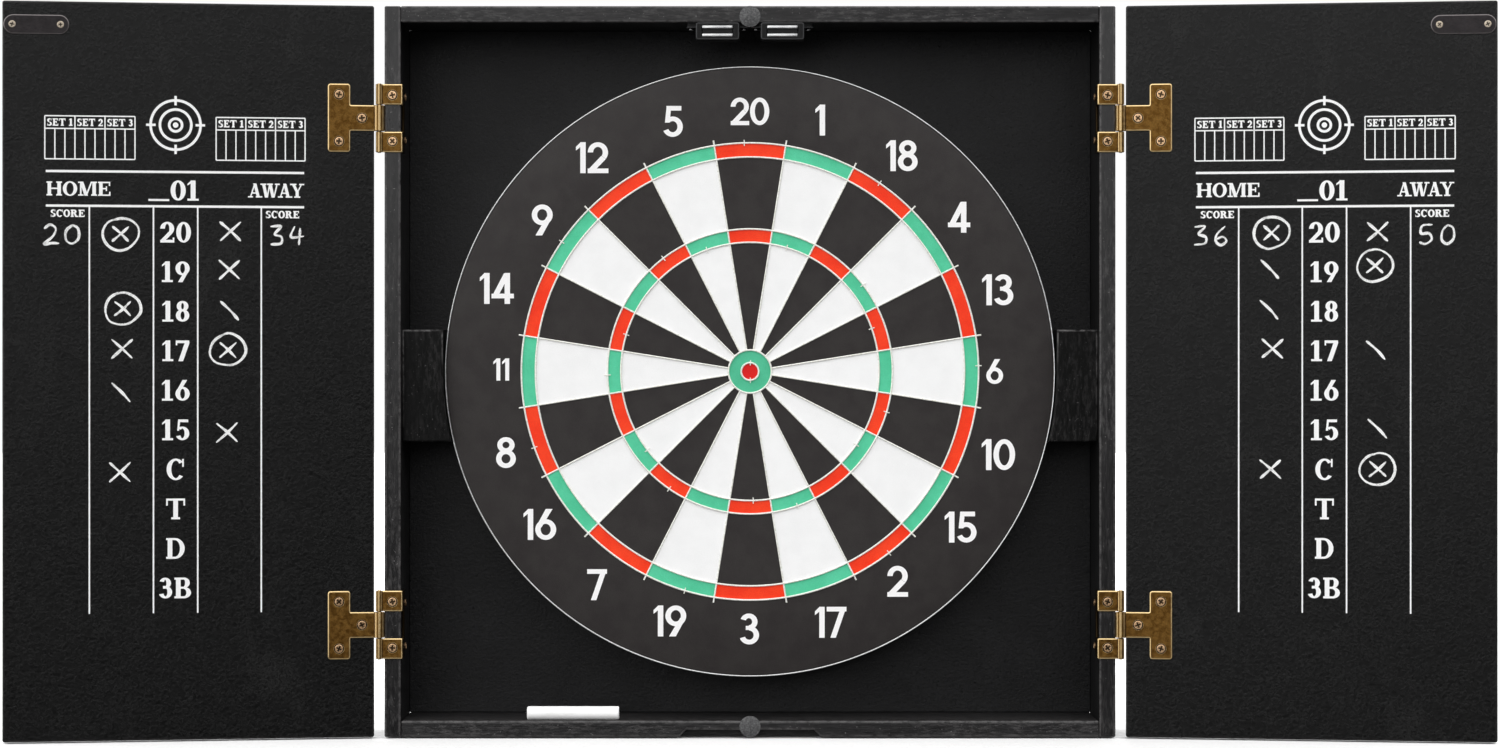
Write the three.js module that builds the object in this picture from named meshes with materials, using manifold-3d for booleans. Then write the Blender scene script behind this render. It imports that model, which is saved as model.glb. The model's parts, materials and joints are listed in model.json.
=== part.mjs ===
// Dartboard cabinet: a shallow wooden box that holds a bristle dartboard behind two scoreboard
// doors on brass T-hinges, modelled with the doors swung open.
//
// Millimetres, +Z up, and the front faces -Y. The origin is the middle of the back face, where
// the cabinet lies against a wall.

import * as THREE from 'three';
import { mergeVertices } from 'three/addons/utils/BufferGeometryUtils.js';
import Module from 'manifold-3d';

const wasm = await Module();
wasm.setup();

// Box
const boxWidth = 540;
const boxHeight = 540;
const boxDepth = 70;
const panelThickness = 12;
const backThickness = 6;
const recessWidth = 105;
const recessHeight = 5.2;
const recessDepth = 10;

// Doors
const doorWidth = 269;
const doorThickness = 12;
const doorGap = 2; // between a closed door and the front edges of the box
const doorAngle = THREE.MathUtils.degToRad(172); // how far the doors stand open

// Hinges, measured from the pin's centre line
const pinOffset = 3.7; // the pin stands this far outside the box's side
const hingeHeight = 187; // middle of a hinge above and below the middle of the box
const leafThickness = 1.4;
const leafLength = 50.3;
const stemLength = 19;
const notchLength = 20;
const notchDepth = 9; // how far back the notch runs into the flange
const crossbarInner = 21.2;
const crossbarOuter = 37.7;
const flangeDepth = 18;
const barrelRadius = 2.6;
const boreRadius = 1.75;
const pinRadius = 1.5;
const leafCornerRadius = 2;
const leafLift = 0.15; // a door leaf stands this far off the door

// Wood screws, shared by every hinge leaf
const screwHeadRadius = 3.2;
const screwHeadDepth = 1.6;
const screwShankRadius = 1.5;
const screwLength = 10;
const clearance = 0.3;

// Dartboard
const boardRadius = 227;
const boardBack = -15;
const boardFace = -52;
const backingThickness = 6;
const bandThickness = 1;
const wireWidth = 1.2;
const wireRings = [6.5, 16, 96, 106, 159.5, 170];
const spokeLength = 174;

// Magnetic catches and the strike plates they hold
const catchOffset = 24; // middle of a catch from the middle of the box
const catchWidth = 32;
const catchHeight = 12.7;
const catchFront = -69.5;
const catchBack = -54;
const strikeLength = 47;
const strikeHeight = 14;
const strikeThickness = 1;

const halfWidth = boxWidth / 2;
const halfHeight = boxHeight / 2;
const innerWidth = halfWidth - panelThickness;
const innerHeight = halfHeight - panelThickness;
const front = -boxDepth;

const paintedWood = new THREE.MeshStandardMaterial({ color: 0x1c1b1c, roughness: 0.6, metalness: 0 });
const blackBoard = new THREE.MeshStandardMaterial({ color: 0x222122, roughness: 0.8, metalness: 0 });
const brass = new THREE.MeshStandardMaterial({ color: 0x8a6a34, roughness: 0.35, metalness: 1 });
const screwSteel = new THREE.MeshStandardMaterial({ color: 0xb59c72, roughness: 0.35, metalness: 1 });
const steel = new THREE.MeshStandardMaterial({ color: 0xc8c8c8, roughness: 0.3, metalness: 1 });
const magnetBlack = new THREE.MeshStandardMaterial({ color: 0x2a2a2c, roughness: 0.5, metalness: 0.3 });
const plastic = new THREE.MeshStandardMaterial({ color: 0x18181a, roughness: 0.45, metalness: 0 });
const rubber = new THREE.MeshStandardMaterial({ color: 0x6a6a6a, roughness: 0.7, metalness: 0 });
const sisal = new THREE.MeshStandardMaterial({ color: 0x2a2727, roughness: 0.95, metalness: 0 });
const boardWood = new THREE.MeshStandardMaterial({ color: 0x9a7a52, roughness: 0.8, metalness: 0 });
const chalkWhite = new THREE.MeshStandardMaterial({ color: 0xf2f2ee, roughness: 0.9, metalness: 0 });

// A closed geometry as a solid that can be joined and cut
function solid(geometry) {
  const bare = geometry.clone();
  bare.deleteAttribute('normal');
  bare.deleteAttribute('uv');
  const merged = mergeVertices(bare, 1e-4);
  const vertProperties = new Float32Array(merged.attributes.position.array);
  const triVerts = new Uint32Array(merged.index.array);
  return new wasm.Manifold(new wasm.Mesh({ numProp: 3, vertProperties, triVerts }));
}

function toGeometry(body) {
  const mesh = body.getMesh();
  const geometry = new THREE.BufferGeometry();
  geometry.setAttribute('position', new THREE.BufferAttribute(new Float32Array(mesh.vertProperties), 3));
  geometry.setIndex(new THREE.BufferAttribute(new Uint32Array(mesh.triVerts), 1));
  geometry.computeVertexNormals();
  return geometry;
}

// One geometry with every tool cut out of it
function cut(geometry, tools) {
  let body = solid(geometry);
  for (const tool of tools) {
    body = body.subtract(solid(tool));
  }
  return toGeometry(body);
}

function join(geometries) {
  let body = solid(geometries[0]);
  for (const geometry of geometries.slice(1)) {
    body = body.add(solid(geometry));
  }
  return toGeometry(body);
}

// Box between two values on each axis, in either order
function block([xa, xb], [ya, yb], [za, zb]) {
  const geometry = new THREE.BoxGeometry(Math.abs(xb - xa), Math.abs(yb - ya), Math.abs(zb - za));
  return geometry.translate((xa + xb) / 2, (ya + yb) / 2, (za + zb) / 2);
}

// Round bar along Z
function barAlongZ(radius, [za, zb], segments) {
  const geometry = new THREE.CylinderGeometry(radius, radius, zb - za, segments);
  return geometry.rotateX(Math.PI / 2).translate(0, 0, (za + zb) / 2);
}

// Outline drawn in X and Z, thickened from yFront to yBack
function slab(shape, [yFront, yBack], curveSegments = 3) {
  const depth = yBack - yFront;
  const geometry = new THREE.ExtrudeGeometry(shape, { depth, bevelEnabled: false, curveSegments });
  return geometry.rotateX(Math.PI / 2).translate(0, yBack, 0);
}

function roundedRectangle([xa, xb], [za, zb], radius) {
  const [left, right] = [Math.min(xa, xb), Math.max(xa, xb)];
  const shape = new THREE.Shape();
  shape.moveTo(left + radius, za);
  shape.lineTo(right - radius, za);
  shape.absarc(right - radius, za + radius, radius, -Math.PI / 2, 0);
  shape.lineTo(right, zb - radius);
  shape.absarc(right - radius, zb - radius, radius, 0, Math.PI / 2);
  shape.lineTo(left + radius, zb);
  shape.absarc(left + radius, zb - radius, radius, Math.PI / 2, Math.PI);
  shape.lineTo(left, za + radius);
  shape.absarc(left + radius, za + radius, radius, Math.PI, Math.PI * 1.5);
  return shape;
}

function addPiece(parent, name, geometry, material) {
  const piece = new THREE.Mesh(geometry, material);
  piece.name = name;
  parent.add(piece);
  return piece;
}

// Countersunk wood screw along Y, its head at the origin. Toward is the way that the tip points
function screwGeometry(toward) {
  const profile = [
    [0, -screwLength],
    [screwShankRadius, 3 - screwLength],
    [screwShankRadius, -screwHeadDepth],
    [screwHeadRadius, -0.2],
    [screwHeadRadius, 0],
    [0, 0],
  ];
  const geometry = new THREE.LatheGeometry(profile.map(([r, y]) => new THREE.Vector2(r, y)), 10);
  return toward > 0 ? geometry.rotateX(Math.PI) : geometry;
}

// The room a screw needs: a pilot hole with a countersink over it
function screwHole(x, y, z, toward) {
  const overshoot = 1;
  const profile = [
    [0, -screwLength - clearance],
    [screwShankRadius + clearance, -screwLength - clearance],
    [screwShankRadius + clearance, -screwHeadDepth - clearance],
    [screwHeadRadius + clearance, -clearance],
    [screwHeadRadius + clearance, overshoot],
    [0, overshoot],
  ];
  const geometry = new THREE.LatheGeometry(profile.map(([r, h]) => new THREE.Vector2(r, h)), 10);
  if (toward > 0) {
    geometry.rotateX(Math.PI);
  }
  return geometry.translate(x, y, z);
}

// Hinge layout in the pin's frame, for a box that lies toward +X when side is 1.
// Each screw is [distance from the pin, height from the hinge's middle].
const doorScrews = [[29.5, 17.3], [12.7, 0], [29.5, -17.3]];
const frameScrews = [[pinOffset + panelThickness / 2, 17], [pinOffset + panelThickness / 2, -17]];
const hingeSpots = [['upper', hingeHeight], ['lower', -hingeHeight]];
const doorLeafY = [-doorGap / 2 + leafLift, -doorGap / 2 + leafLift + leafThickness];
const frameLeafY = [doorGap / 2 - leafThickness, doorGap / 2];

function doorLeaf(side) {
  const crossbar = roundedRectangle(
    [side * crossbarInner, side * crossbarOuter], [-leafLength / 2, leafLength / 2], leafCornerRadius);
  const stem = block([0, side * (crossbarInner + 3)], doorLeafY, [-stemLength / 2, stemLength / 2]);
  const barrel = barAlongZ(barrelRadius, [-stemLength / 2, stemLength / 2], 16);
  const bore = barAlongZ(boreRadius, [-stemLength, stemLength], 16);
  const holes = doorScrews.map(([x, z]) => screwHole(side * x, doorLeafY[1], z, -1));
  return cut(join([slab(crossbar, doorLeafY), stem, barrel]), [bore, ...holes]);
}

function frameLeaf(side) {
  const half = leafLength / 2;
  const bend = side * (pinOffset + panelThickness + leafThickness);
  const innerWall = side * (pinOffset + panelThickness);
  const strap = block([0, bend], frameLeafY, [-half, half]);
  const flange = block([innerWall, bend], [frameLeafY[0], frameLeafY[1] + flangeDepth], [-half, half]);
  const barrel = barAlongZ(barrelRadius, [-half, half], 16);
  const notchHeight = [-notchLength / 2, notchLength / 2];
  const notch = block([-side * 5, side * 30], [-5, frameLeafY[1] + notchDepth], notchHeight);
  const barrelGap = block([-side * 5, side * 3], [-5, 5], notchHeight);
  const bore = barAlongZ(boreRadius, [-leafLength, leafLength], 16);
  const holes = frameScrews.map(([x, z]) => screwHole(side * x, frameLeafY[0], z, 1));
  return cut(join([strap, flange, barrel]), [bore, notch, barrelGap, ...holes]);
}

// Carcass: two full-height sides, the top and bottom between them, and a back set in flush
function addCarcass(cabinet) {
  const [strapScrewX] = frameScrews[0];
  for (const [name, side] of [['left', -1], ['right', 1]]) {
    const panel = block([side * innerWidth, side * halfWidth], [front, 0], [-halfHeight, halfHeight]);
    const screwX = side * (halfWidth + pinOffset - strapScrewX);
    const holes = hingeSpots.flatMap(([, hingeZ]) => frameScrews.map(
      ([, z]) => screwHole(screwX, front - leafThickness, hingeZ + z, 1)));
    addPiece(cabinet, `side_panel_${name}`, cut(panel, holes), paintedWood);
  }
  const top = block([-innerWidth, innerWidth], [front, 0], [innerHeight, halfHeight]);
  addPiece(cabinet, 'top_panel', top, paintedWood);

  const bottom = block([-innerWidth, innerWidth], [front, 0], [-halfHeight, -innerHeight]);
  const recess = new THREE.Shape([
    new THREE.Vector2(-recessWidth / 2 - 1, -halfHeight - 1),
    new THREE.Vector2(recessWidth / 2 + 1, -halfHeight - 1),
    new THREE.Vector2(recessWidth / 2 - recessHeight, -halfHeight + recessHeight),
    new THREE.Vector2(-recessWidth / 2 + recessHeight, -halfHeight + recessHeight),
  ]);
  const fingerRecess = slab(recess, [front - 1, front + recessDepth]);
  addPiece(cabinet, 'bottom_panel', cut(bottom, [fingerRecess]), paintedWood);

  const back = block([-innerWidth, innerWidth], [-backThickness, 0], [-innerHeight, innerHeight]);
  addPiece(cabinet, 'back_panel', back, blackBoard);
}

// Two blocks that cradle the board's rim from its middle downward
function addCradles(cabinet) {
  const reach = boardRadius + 0.8;
  const topZ = 31;
  const bottomZ = -52;
  const frontY = front + 11;
  for (const [name, side] of [['left', -1], ['right', 1]]) {
    const shape = new THREE.Shape();
    shape.moveTo(side * innerWidth, bottomZ);
    shape.lineTo(side * innerWidth, topZ);
    shape.lineTo(side * reach, topZ);
    const arcSteps = 6;
    const arcEnd = Math.asin(bottomZ / reach);
    for (let step = 0; step <= arcSteps; step += 1) {
      const angle = arcEnd * step / arcSteps;
      shape.lineTo(side * reach * Math.cos(angle), reach * Math.sin(angle));
    }
    addPiece(cabinet, `board_cradle_${name}`, slab(shape, [frontY, -backThickness]), paintedWood);
  }
}

// Double-pole magnetic catches under the top panel
function addCatches(cabinet) {
  const top = innerHeight;
  const halfPole = 11.5;
  const poleThickness = 2;
  const upperPole = top - 2.5;
  const lowerPole = top - 8.5;
  for (const [name, side] of [['left', -1], ['right', 1]]) {
    const x = side * catchOffset;
    const shell = block(
      [x - catchWidth / 2, x + catchWidth / 2], [catchFront, catchBack], [top - catchHeight, top]);
    const ears = block([x - 23, x + 23], [catchBack - 11, catchBack - 1], [top - 3.6, top]);
    const pocket = block(
      [x - halfPole - clearance, x + halfPole + clearance],
      [catchFront - 1, catchBack - 2],
      [lowerPole - poleThickness - clearance, upperPole + clearance]);
    addPiece(cabinet, `catch_housing_${name}`, cut(join([shell, ears]), [pocket]), plastic);

    const poleY = [front - 0.6, catchBack - 2 - clearance];
    for (const [level, z] of [['upper', upperPole], ['lower', lowerPole]]) {
      const pole = block([x - halfPole, x + halfPole], poleY, [z - poleThickness, z]);
      addPiece(cabinet, `catch_pole_${level}_${name}`, pole, steel);
    }
    const magnet = block(
      [x - halfPole + 0.5, x + halfPole - 0.5],
      [catchFront + 0.5, poleY[1]],
      [lowerPole + clearance, upperPole - poleThickness - clearance]);
    addPiece(cabinet, `catch_magnet_${name}`, magnet, magnetBlack);
  }
}

// Stick-on domed bumpers that the doors close against, thin at the edge, where the strike
// plates of the closed doors pass over them
function addBumpers(cabinet) {
  const radius = 7.8;
  const edgeThickness = 0.3;
  const domeHeight = 1;
  const rings = 5;
  const profile = [new THREE.Vector2(0, 0), new THREE.Vector2(radius, 0)];
  for (let ring = rings; ring >= 0; ring -= 1) {
    const share = ring / rings;
    profile.push(new THREE.Vector2(radius * share, edgeThickness + domeHeight * (1 - share * share)));
  }
  for (const [name, z] of [['top', halfHeight - radius], ['bottom', radius - halfHeight]]) {
    const pad = new THREE.LatheGeometry(profile, 24);
    pad.rotateX(Math.PI).translate(0, front, z);
    addPiece(cabinet, `bumper_${name}`, pad, rubber);
  }
}

// Bracket on the back panel: a raised steel strip with a slot, open at the top, that takes
// the screw in the middle of the board's back
function addBracket(cabinet) {
  const halfSpan = 16;
  const tall = [-14, 8.5];
  const webY = [-13, -11.5];
  const sheet = webY[1] - webY[0];
  const web = block([-halfSpan, halfSpan], webY, tall);
  const parts = [web];
  for (const side of [-1, 1]) {
    const riser = [side * halfSpan, side * (halfSpan - sheet)];
    parts.push(block(riser, [webY[0], -backThickness], tall));
    const foot = [side * (halfSpan - sheet), side * (halfSpan + 14)];
    parts.push(block(foot, [-backThickness - sheet, -backThickness], tall));
  }
  const slotRadius = 3;
  const slotFoot = new THREE.CylinderGeometry(slotRadius, slotRadius, 6, 12);
  slotFoot.translate(0, webY[0], 0);
  const slot = block([-slotRadius, slotRadius], [webY[0] - 3, webY[1] + 3], [0, tall[1] + 1]);
  addPiece(cabinet, 'board_bracket', cut(join(parts), [slotFoot, slot]), steel);
}

// Frame leaves, pins and the screws that hold the leaves to the box's front edges
function addFrameHinges(cabinet) {
  for (const [name, side] of [['left', 1], ['right', -1]]) {
    for (const [level, hingeZ] of hingeSpots) {
      const hinge = new THREE.Group();
      hinge.position.set(-side * (halfWidth + pinOffset), front - doorGap / 2, hingeZ);
      cabinet.add(hinge);
      addPiece(hinge, `hinge_frame_leaf_${name}_${level}`, frameLeaf(side), brass);
      const pin = barAlongZ(pinRadius, [-leafLength / 2 - 0.5, leafLength / 2 + 0.5], 16);
      addPiece(hinge, `hinge_pin_${name}_${level}`, pin, brass);
      frameScrews.forEach(([x, z], index) => {
        const screwName = `frame_screw_${name}_${level}_${index + 1}`;
        const screw = addPiece(hinge, screwName, screwGeometry(1), screwSteel);
        screw.position.set(side * x, frameLeafY[0], z);
      });
    }
  }
}

// The dartboard: a sisal face on a wooden backing in a steel band, with the wire number grid
function addDartboard(cabinet) {
  const rimSegments = 72;
  const coreRadius = boardRadius - bandThickness - 0.2;
  const backingFront = boardBack - backingThickness;

  const sisalDisc = new THREE.CylinderGeometry(coreRadius, coreRadius, backingFront - boardFace, rimSegments);
  sisalDisc.translate(0, (backingFront + boardFace) / 2, 0);
  const backing = new THREE.CylinderGeometry(coreRadius, coreRadius, backingThickness, rimSegments);
  backing.translate(0, boardBack - backingThickness / 2, 0);
  const screwRoom = new THREE.CylinderGeometry(2.8, 2.8, 40, 12);
  screwRoom.translate(0, boardBack, 0);
  addPiece(cabinet, 'board_sisal', cut(sisalDisc, [screwRoom]), sisal);
  addPiece(cabinet, 'board_backing', cut(backing, [screwRoom]), boardWood);

  const bandInner = boardRadius - bandThickness;
  const bandProfile = [
    [bandInner, boardFace - 0.4],
    [boardRadius, boardFace - 0.4],
    [boardRadius, boardBack],
    [bandInner, boardBack],
    [bandInner, boardFace - 0.4],
  ];
  const band = new THREE.LatheGeometry(bandProfile.map(([r, y]) => new THREE.Vector2(r, y)), rimSegments);
  addPiece(cabinet, 'board_band', band, steel);

  // Wire rings with a vertex on every spoke, and spokes from the outer bull past the double ring
  const ringSegments = 40;
  const wireY = [boardFace - 1.1, boardFace - 0.1];
  const wires = wireRings.map((radius) => {
    const profile = [
      [radius - wireWidth / 2, wireY[0]],
      [radius + wireWidth / 2, wireY[0]],
      [radius + wireWidth / 2, wireY[1]],
      [radius - wireWidth / 2, wireY[1]],
      [radius - wireWidth / 2, wireY[0]],
    ];
    return new THREE.LatheGeometry(profile.map(([r, y]) => new THREE.Vector2(r, y)), ringSegments);
  });
  const sectors = 20;
  for (let sector = 0; sector < sectors; sector += 1) {
    const spoke = block([-wireWidth / 2, wireWidth / 2], wireY, [wireRings[1], spokeLength]);
    wires.push(spoke.rotateY(Math.PI * 2 * (sector + 0.5) / sectors));
  }
  const bullBridge = block([-wireWidth / 2, wireWidth / 2], wireY, [wireRings[0], wireRings[1]]);
  wires.push(bullBridge.rotateY(Math.PI / sectors));
  addPiece(cabinet, 'board_spider', join(wires), steel);

  // Screw that hangs the board: a flat head behind the bracket's web, a shank into the core
  const screwProfile = [[0, -18], [2.5, -16], [2.5, 4.5], [5, 4.5], [5, 7], [0, 7]];
  const boardScrew = new THREE.LatheGeometry(screwProfile.map(([r, y]) => new THREE.Vector2(r, y)), 12);
  boardScrew.translate(0, boardBack, 0);
  addPiece(cabinet, 'board_screw', boardScrew, steel);
}

function addChalk(cabinet) {
  const radius = 5;
  const length = 68;
  const middleX = -131;
  const stick = new THREE.CylinderGeometry(radius, radius, length, 16);
  stick.rotateZ(Math.PI / 2).translate(middleX, front + 7, radius + 0.1 - innerHeight);
  addPiece(cabinet, 'chalk_stick', stick, chalkWhite);
}

// A door in its pin's frame: the panel, two T-leaves, their screws and the strike plate.
// The panel lies toward +X when side is 1, and its scoreboard face looks to +Y
function addDoor(cabinet, name, side) {
  const door = new THREE.Group();
  door.position.set(-side * (halfWidth + pinOffset), front - doorGap / 2, 0);
  door.rotation.z = -side * doorAngle;
  cabinet.add(door);

  const scoreFace = -doorGap / 2;
  const panel = block(
    [side * pinOffset, side * (pinOffset + doorWidth)],
    [scoreFace - doorThickness, scoreFace],
    [-halfHeight, halfHeight]);
  const holes = hingeSpots.flatMap(([, hingeZ]) => doorScrews.map(
    ([x, z]) => screwHole(side * x, doorLeafY[1], hingeZ + z, -1)));
  addPiece(door, `door_panel_${name}`, cut(panel, holes), blackBoard);

  for (const [level, hingeZ] of hingeSpots) {
    addPiece(door, `hinge_door_leaf_${name}_${level}`, doorLeaf(side), brass).position.z = hingeZ;
    doorScrews.forEach(([x, z], index) => {
      const screwName = `door_screw_${name}_${level}_${index + 1}`;
      const screw = addPiece(door, screwName, screwGeometry(-1), screwSteel);
      screw.position.set(side * x, doorLeafY[1], hingeZ + z);
    });
  }

  const strikeMiddle = pinOffset + doorWidth - 24.4;
  const strikeZ = halfHeight - 17.2;
  const outline = roundedRectangle(
    [side * (strikeMiddle - strikeLength / 2), side * (strikeMiddle + strikeLength / 2)],
    [strikeZ - strikeHeight / 2, strikeZ + strikeHeight / 2],
    strikeHeight / 2 - 0.01);
  const strikeY = scoreFace + leafLift;
  addPiece(door, `strike_plate_${name}`, slab(outline, [strikeY, strikeY + strikeThickness], 6), steel);
}

const cabinet = new THREE.Group();
addCarcass(cabinet);
addCradles(cabinet);
addCatches(cabinet);
addBumpers(cabinet);
addBracket(cabinet);
addFrameHinges(cabinet);
addDartboard(cabinet);
addChalk(cabinet);
addDoor(cabinet, 'left', 1);
addDoor(cabinet, 'right', -1);

export default cabinet;
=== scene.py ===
import math
import json
import bpy
import bmesh
import numpy as np
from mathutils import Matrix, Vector
from mathutils.geometry import tessellate_polygon


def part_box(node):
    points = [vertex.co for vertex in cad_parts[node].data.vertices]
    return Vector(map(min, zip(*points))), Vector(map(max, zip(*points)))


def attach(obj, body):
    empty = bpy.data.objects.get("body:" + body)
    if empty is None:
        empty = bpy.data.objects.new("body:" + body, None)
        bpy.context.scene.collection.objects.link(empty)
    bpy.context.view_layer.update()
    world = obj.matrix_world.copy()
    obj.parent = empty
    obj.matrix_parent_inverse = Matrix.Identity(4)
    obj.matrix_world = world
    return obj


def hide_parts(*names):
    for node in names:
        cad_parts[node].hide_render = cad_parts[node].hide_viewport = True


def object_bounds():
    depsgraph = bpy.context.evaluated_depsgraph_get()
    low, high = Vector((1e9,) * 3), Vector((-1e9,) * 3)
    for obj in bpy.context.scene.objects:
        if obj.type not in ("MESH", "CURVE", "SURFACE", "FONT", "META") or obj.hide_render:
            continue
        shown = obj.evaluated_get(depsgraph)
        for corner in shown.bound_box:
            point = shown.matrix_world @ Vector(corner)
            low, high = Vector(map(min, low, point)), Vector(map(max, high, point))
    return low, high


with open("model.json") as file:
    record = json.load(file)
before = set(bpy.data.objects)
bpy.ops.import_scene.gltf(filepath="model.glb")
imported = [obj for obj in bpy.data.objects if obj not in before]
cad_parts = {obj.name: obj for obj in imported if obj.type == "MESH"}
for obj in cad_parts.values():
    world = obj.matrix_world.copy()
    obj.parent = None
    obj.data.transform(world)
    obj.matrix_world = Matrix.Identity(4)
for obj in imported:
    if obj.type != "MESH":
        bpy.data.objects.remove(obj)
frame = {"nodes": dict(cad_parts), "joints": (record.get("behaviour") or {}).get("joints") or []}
cadLow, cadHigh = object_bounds()
scene = bpy.context.scene
mm = 0.001
print("frame loaded with", len(frame["nodes"]), "nodes")


def corners(node):  # a CAD node's lowest and highest corner, in millimetres
    low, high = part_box(node)
    return np.array(low) / mm, np.array(high) / mm


# Places that everything else is measured from
joints = {joint["name"]: joint for joint in frame["joints"]}
doorAngle = joints["left_door_hinge"]["range_deg"][1]  # how far the doors stand open at rest
axisX, axisY, _ = np.abs(joints["left_door_hinge"]["pos_m"]) / mm
axisY = -axisY
sideLow, sideHigh = corners("side_panel_right")
frontY, halfBox = sideLow[1], sideHigh[0]
innerWall = sideLow[0]  # inner face of the side panels
hingeHeight = np.mean(corners("hinge_frame_leaf_left_upper"), axis=0)[2]
sides = {"left": 1, "right": -1}  # the right side is the left one mirrored
boardLow, boardHigh = corners("board_sisal")
boardFace = boardLow[1]
boardRadius = corners("board_band")[1][0]


# Shapes

class Shape:
    # Points in millimetres, faces, how worn each point's edge is, and how far through the
    # thickness it lies
    def __init__(self, points, faces, edge=None, depth=None):
        self.points = np.asarray(points, float).reshape(-1, 3)
        self.faces = [tuple(face) for face in np.asarray(faces).tolist()] if len(faces) else []
        count = len(self.points)
        self.edge = np.zeros(count) if edge is None else np.asarray(edge, float).reshape(-1)
        self.depth = np.zeros(count) if depth is None else np.asarray(depth, float).reshape(-1)

    def changed(self, points):
        other = Shape(points, [], self.edge, self.depth)
        other.faces = self.faces
        return other

    def moved(self, x=0.0, y=0.0, z=0.0):
        return self.changed(self.points + np.array([x, y, z]))

    def mirrored(self, side):  # in X, when side is -1
        return self.changed(self.points * np.array([side, 1, 1]))

    def turned(self, degrees):
        # about Z: x' = x cos t - y sin t and y' = x sin t + y cos t
        cosine, sine = math.cos(math.radians(degrees)), math.sin(math.radians(degrees))
        x, y, z = self.points.T
        return self.changed(np.stack([x * cosine - y * sine, x * sine + y * cosine, z], axis=1))

    def laid(self, axes):  # the first, second and third column go to these axes
        order = ["xyz".index(axis) for axis in axes]
        points = np.zeros_like(self.points)
        points[:, order] = self.points
        return self.changed(points)


def joined(shapes):
    starts = np.cumsum([0] + [len(shape.points) for shape in shapes])
    whole = Shape(np.vstack([shape.points for shape in shapes]), [],
                  np.concatenate([shape.edge for shape in shapes]),
                  np.concatenate([shape.depth for shape in shapes]))
    for start, shape in zip(starts.tolist(), shapes):
        whole.faces += [tuple(number + start for number in face) for face in shape.faces]
    return whole


def gridFaces(rows, columns, wrapRows=False, wrapColumns=False):
    # one quad between each point and its neighbours in the next row and column
    row = np.arange(rows if wrapRows else rows - 1)[:, None]
    column = np.arange(columns if wrapColumns else columns - 1)[None, :]
    nextRow, nextColumn = (row + 1) % rows, (column + 1) % columns
    quads = [row * columns + column, nextRow * columns + column,
             nextRow * columns + nextColumn, row * columns + nextColumn]
    return np.stack(quads, axis=-1).reshape(-1, 4)


def unit(vectors):  # each vector at length 1, and a zero vector left as it is
    lengths = np.linalg.norm(vectors, axis=-1, keepdims=True)
    return vectors / np.maximum(lengths, 1e-12)


def crossed(first, second):  # positive where the second vector lies to the left of the first
    return first[:, 0] * second[:, 1] - second[:, 0] * first[:, 1]


def eased(corner, reach, steps):
    # every corner becomes an arc that touches both its sides; the centre lies on the corner's
    # bisector, radius / sin(half the corner) away, and the arc turns from one side to the other
    toBefore = unit(np.roll(corner, 1, axis=0) - corner)
    toAfter = unit(np.roll(corner, -1, axis=0) - corner)
    half = np.arccos(np.clip((toBefore * toAfter).sum(1), -1, 1)) / 2
    centre = corner + unit(toBefore + toAfter) * (reach / np.sin(half))[:, None]
    start = corner + toBefore * (reach / np.tan(half))[:, None] - centre
    end = corner + toAfter * (reach / np.tan(half))[:, None] - centre
    sweep = (math.pi - 2 * half)[:, None, None]
    share = np.linspace(0, 1, steps + 1)[None, :, None]
    arc = np.sin((1 - share) * sweep) * start[:, None] + np.sin(share * sweep) * end[:, None]
    return (centre[:, None] + arc / np.sin(sweep)).reshape(-1, 2)


def rectangle(a, b):  # from the two ends of its span along each axis
    return [(a[0], b[0]), (a[1], b[0]), (a[1], b[1]), (a[0], b[1])]


def drawnIn(loop, distance):
    # every corner of an anticlockwise loop slides inwards along the mitre of its two sides
    def inward(side):
        return unit(np.stack([-side[:, 1], side[:, 0]], 1))
    before = inward(loop - np.roll(loop, 1, axis=0))
    after = inward(np.roll(loop, -1, axis=0) - loop)
    mitre = (before + after) / (1 + (before * after).sum(1, keepdims=True))
    return loop + distance * mitre


# An outline is a function of how far it is drawn in, which gives an anticlockwise loop

def cornered(points, radius, steps=4):
    # sharp corners slide inwards and are rounded after that, so every arc keeps its centre
    points = np.array(points, float)
    reach = np.broadcast_to(np.asarray(radius, float), len(points))
    if crossed(points, np.roll(points, -1, axis=0)).sum() < 0:
        points, reach = points[::-1], reach[::-1]
    before, after = points - np.roll(points, 1, axis=0), np.roll(points, -1, axis=0) - points
    outward = crossed(before, after) > 0
    sharpest = 0.03

    def loop(inset):
        grown = reach + np.where(outward, -inset, inset)
        return eased(drawnIn(points, inset), np.maximum(grown, sharpest), steps)
    return loop


def circle(radius, centre=(0, 0), steps=32):
    angle = np.arange(steps) * 2 * math.pi / steps
    spin = np.stack([np.cos(angle), np.sin(angle)], axis=1)
    return lambda inset: np.array(centre) + (radius - inset) * spin


def freehand(points):  # corners stay sharp
    points = np.array(points, float)
    if crossed(points, np.roll(points, -1, axis=0)).sum() < 0:
        points = points[::-1]
    return lambda inset: drawnIn(points, inset)


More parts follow.
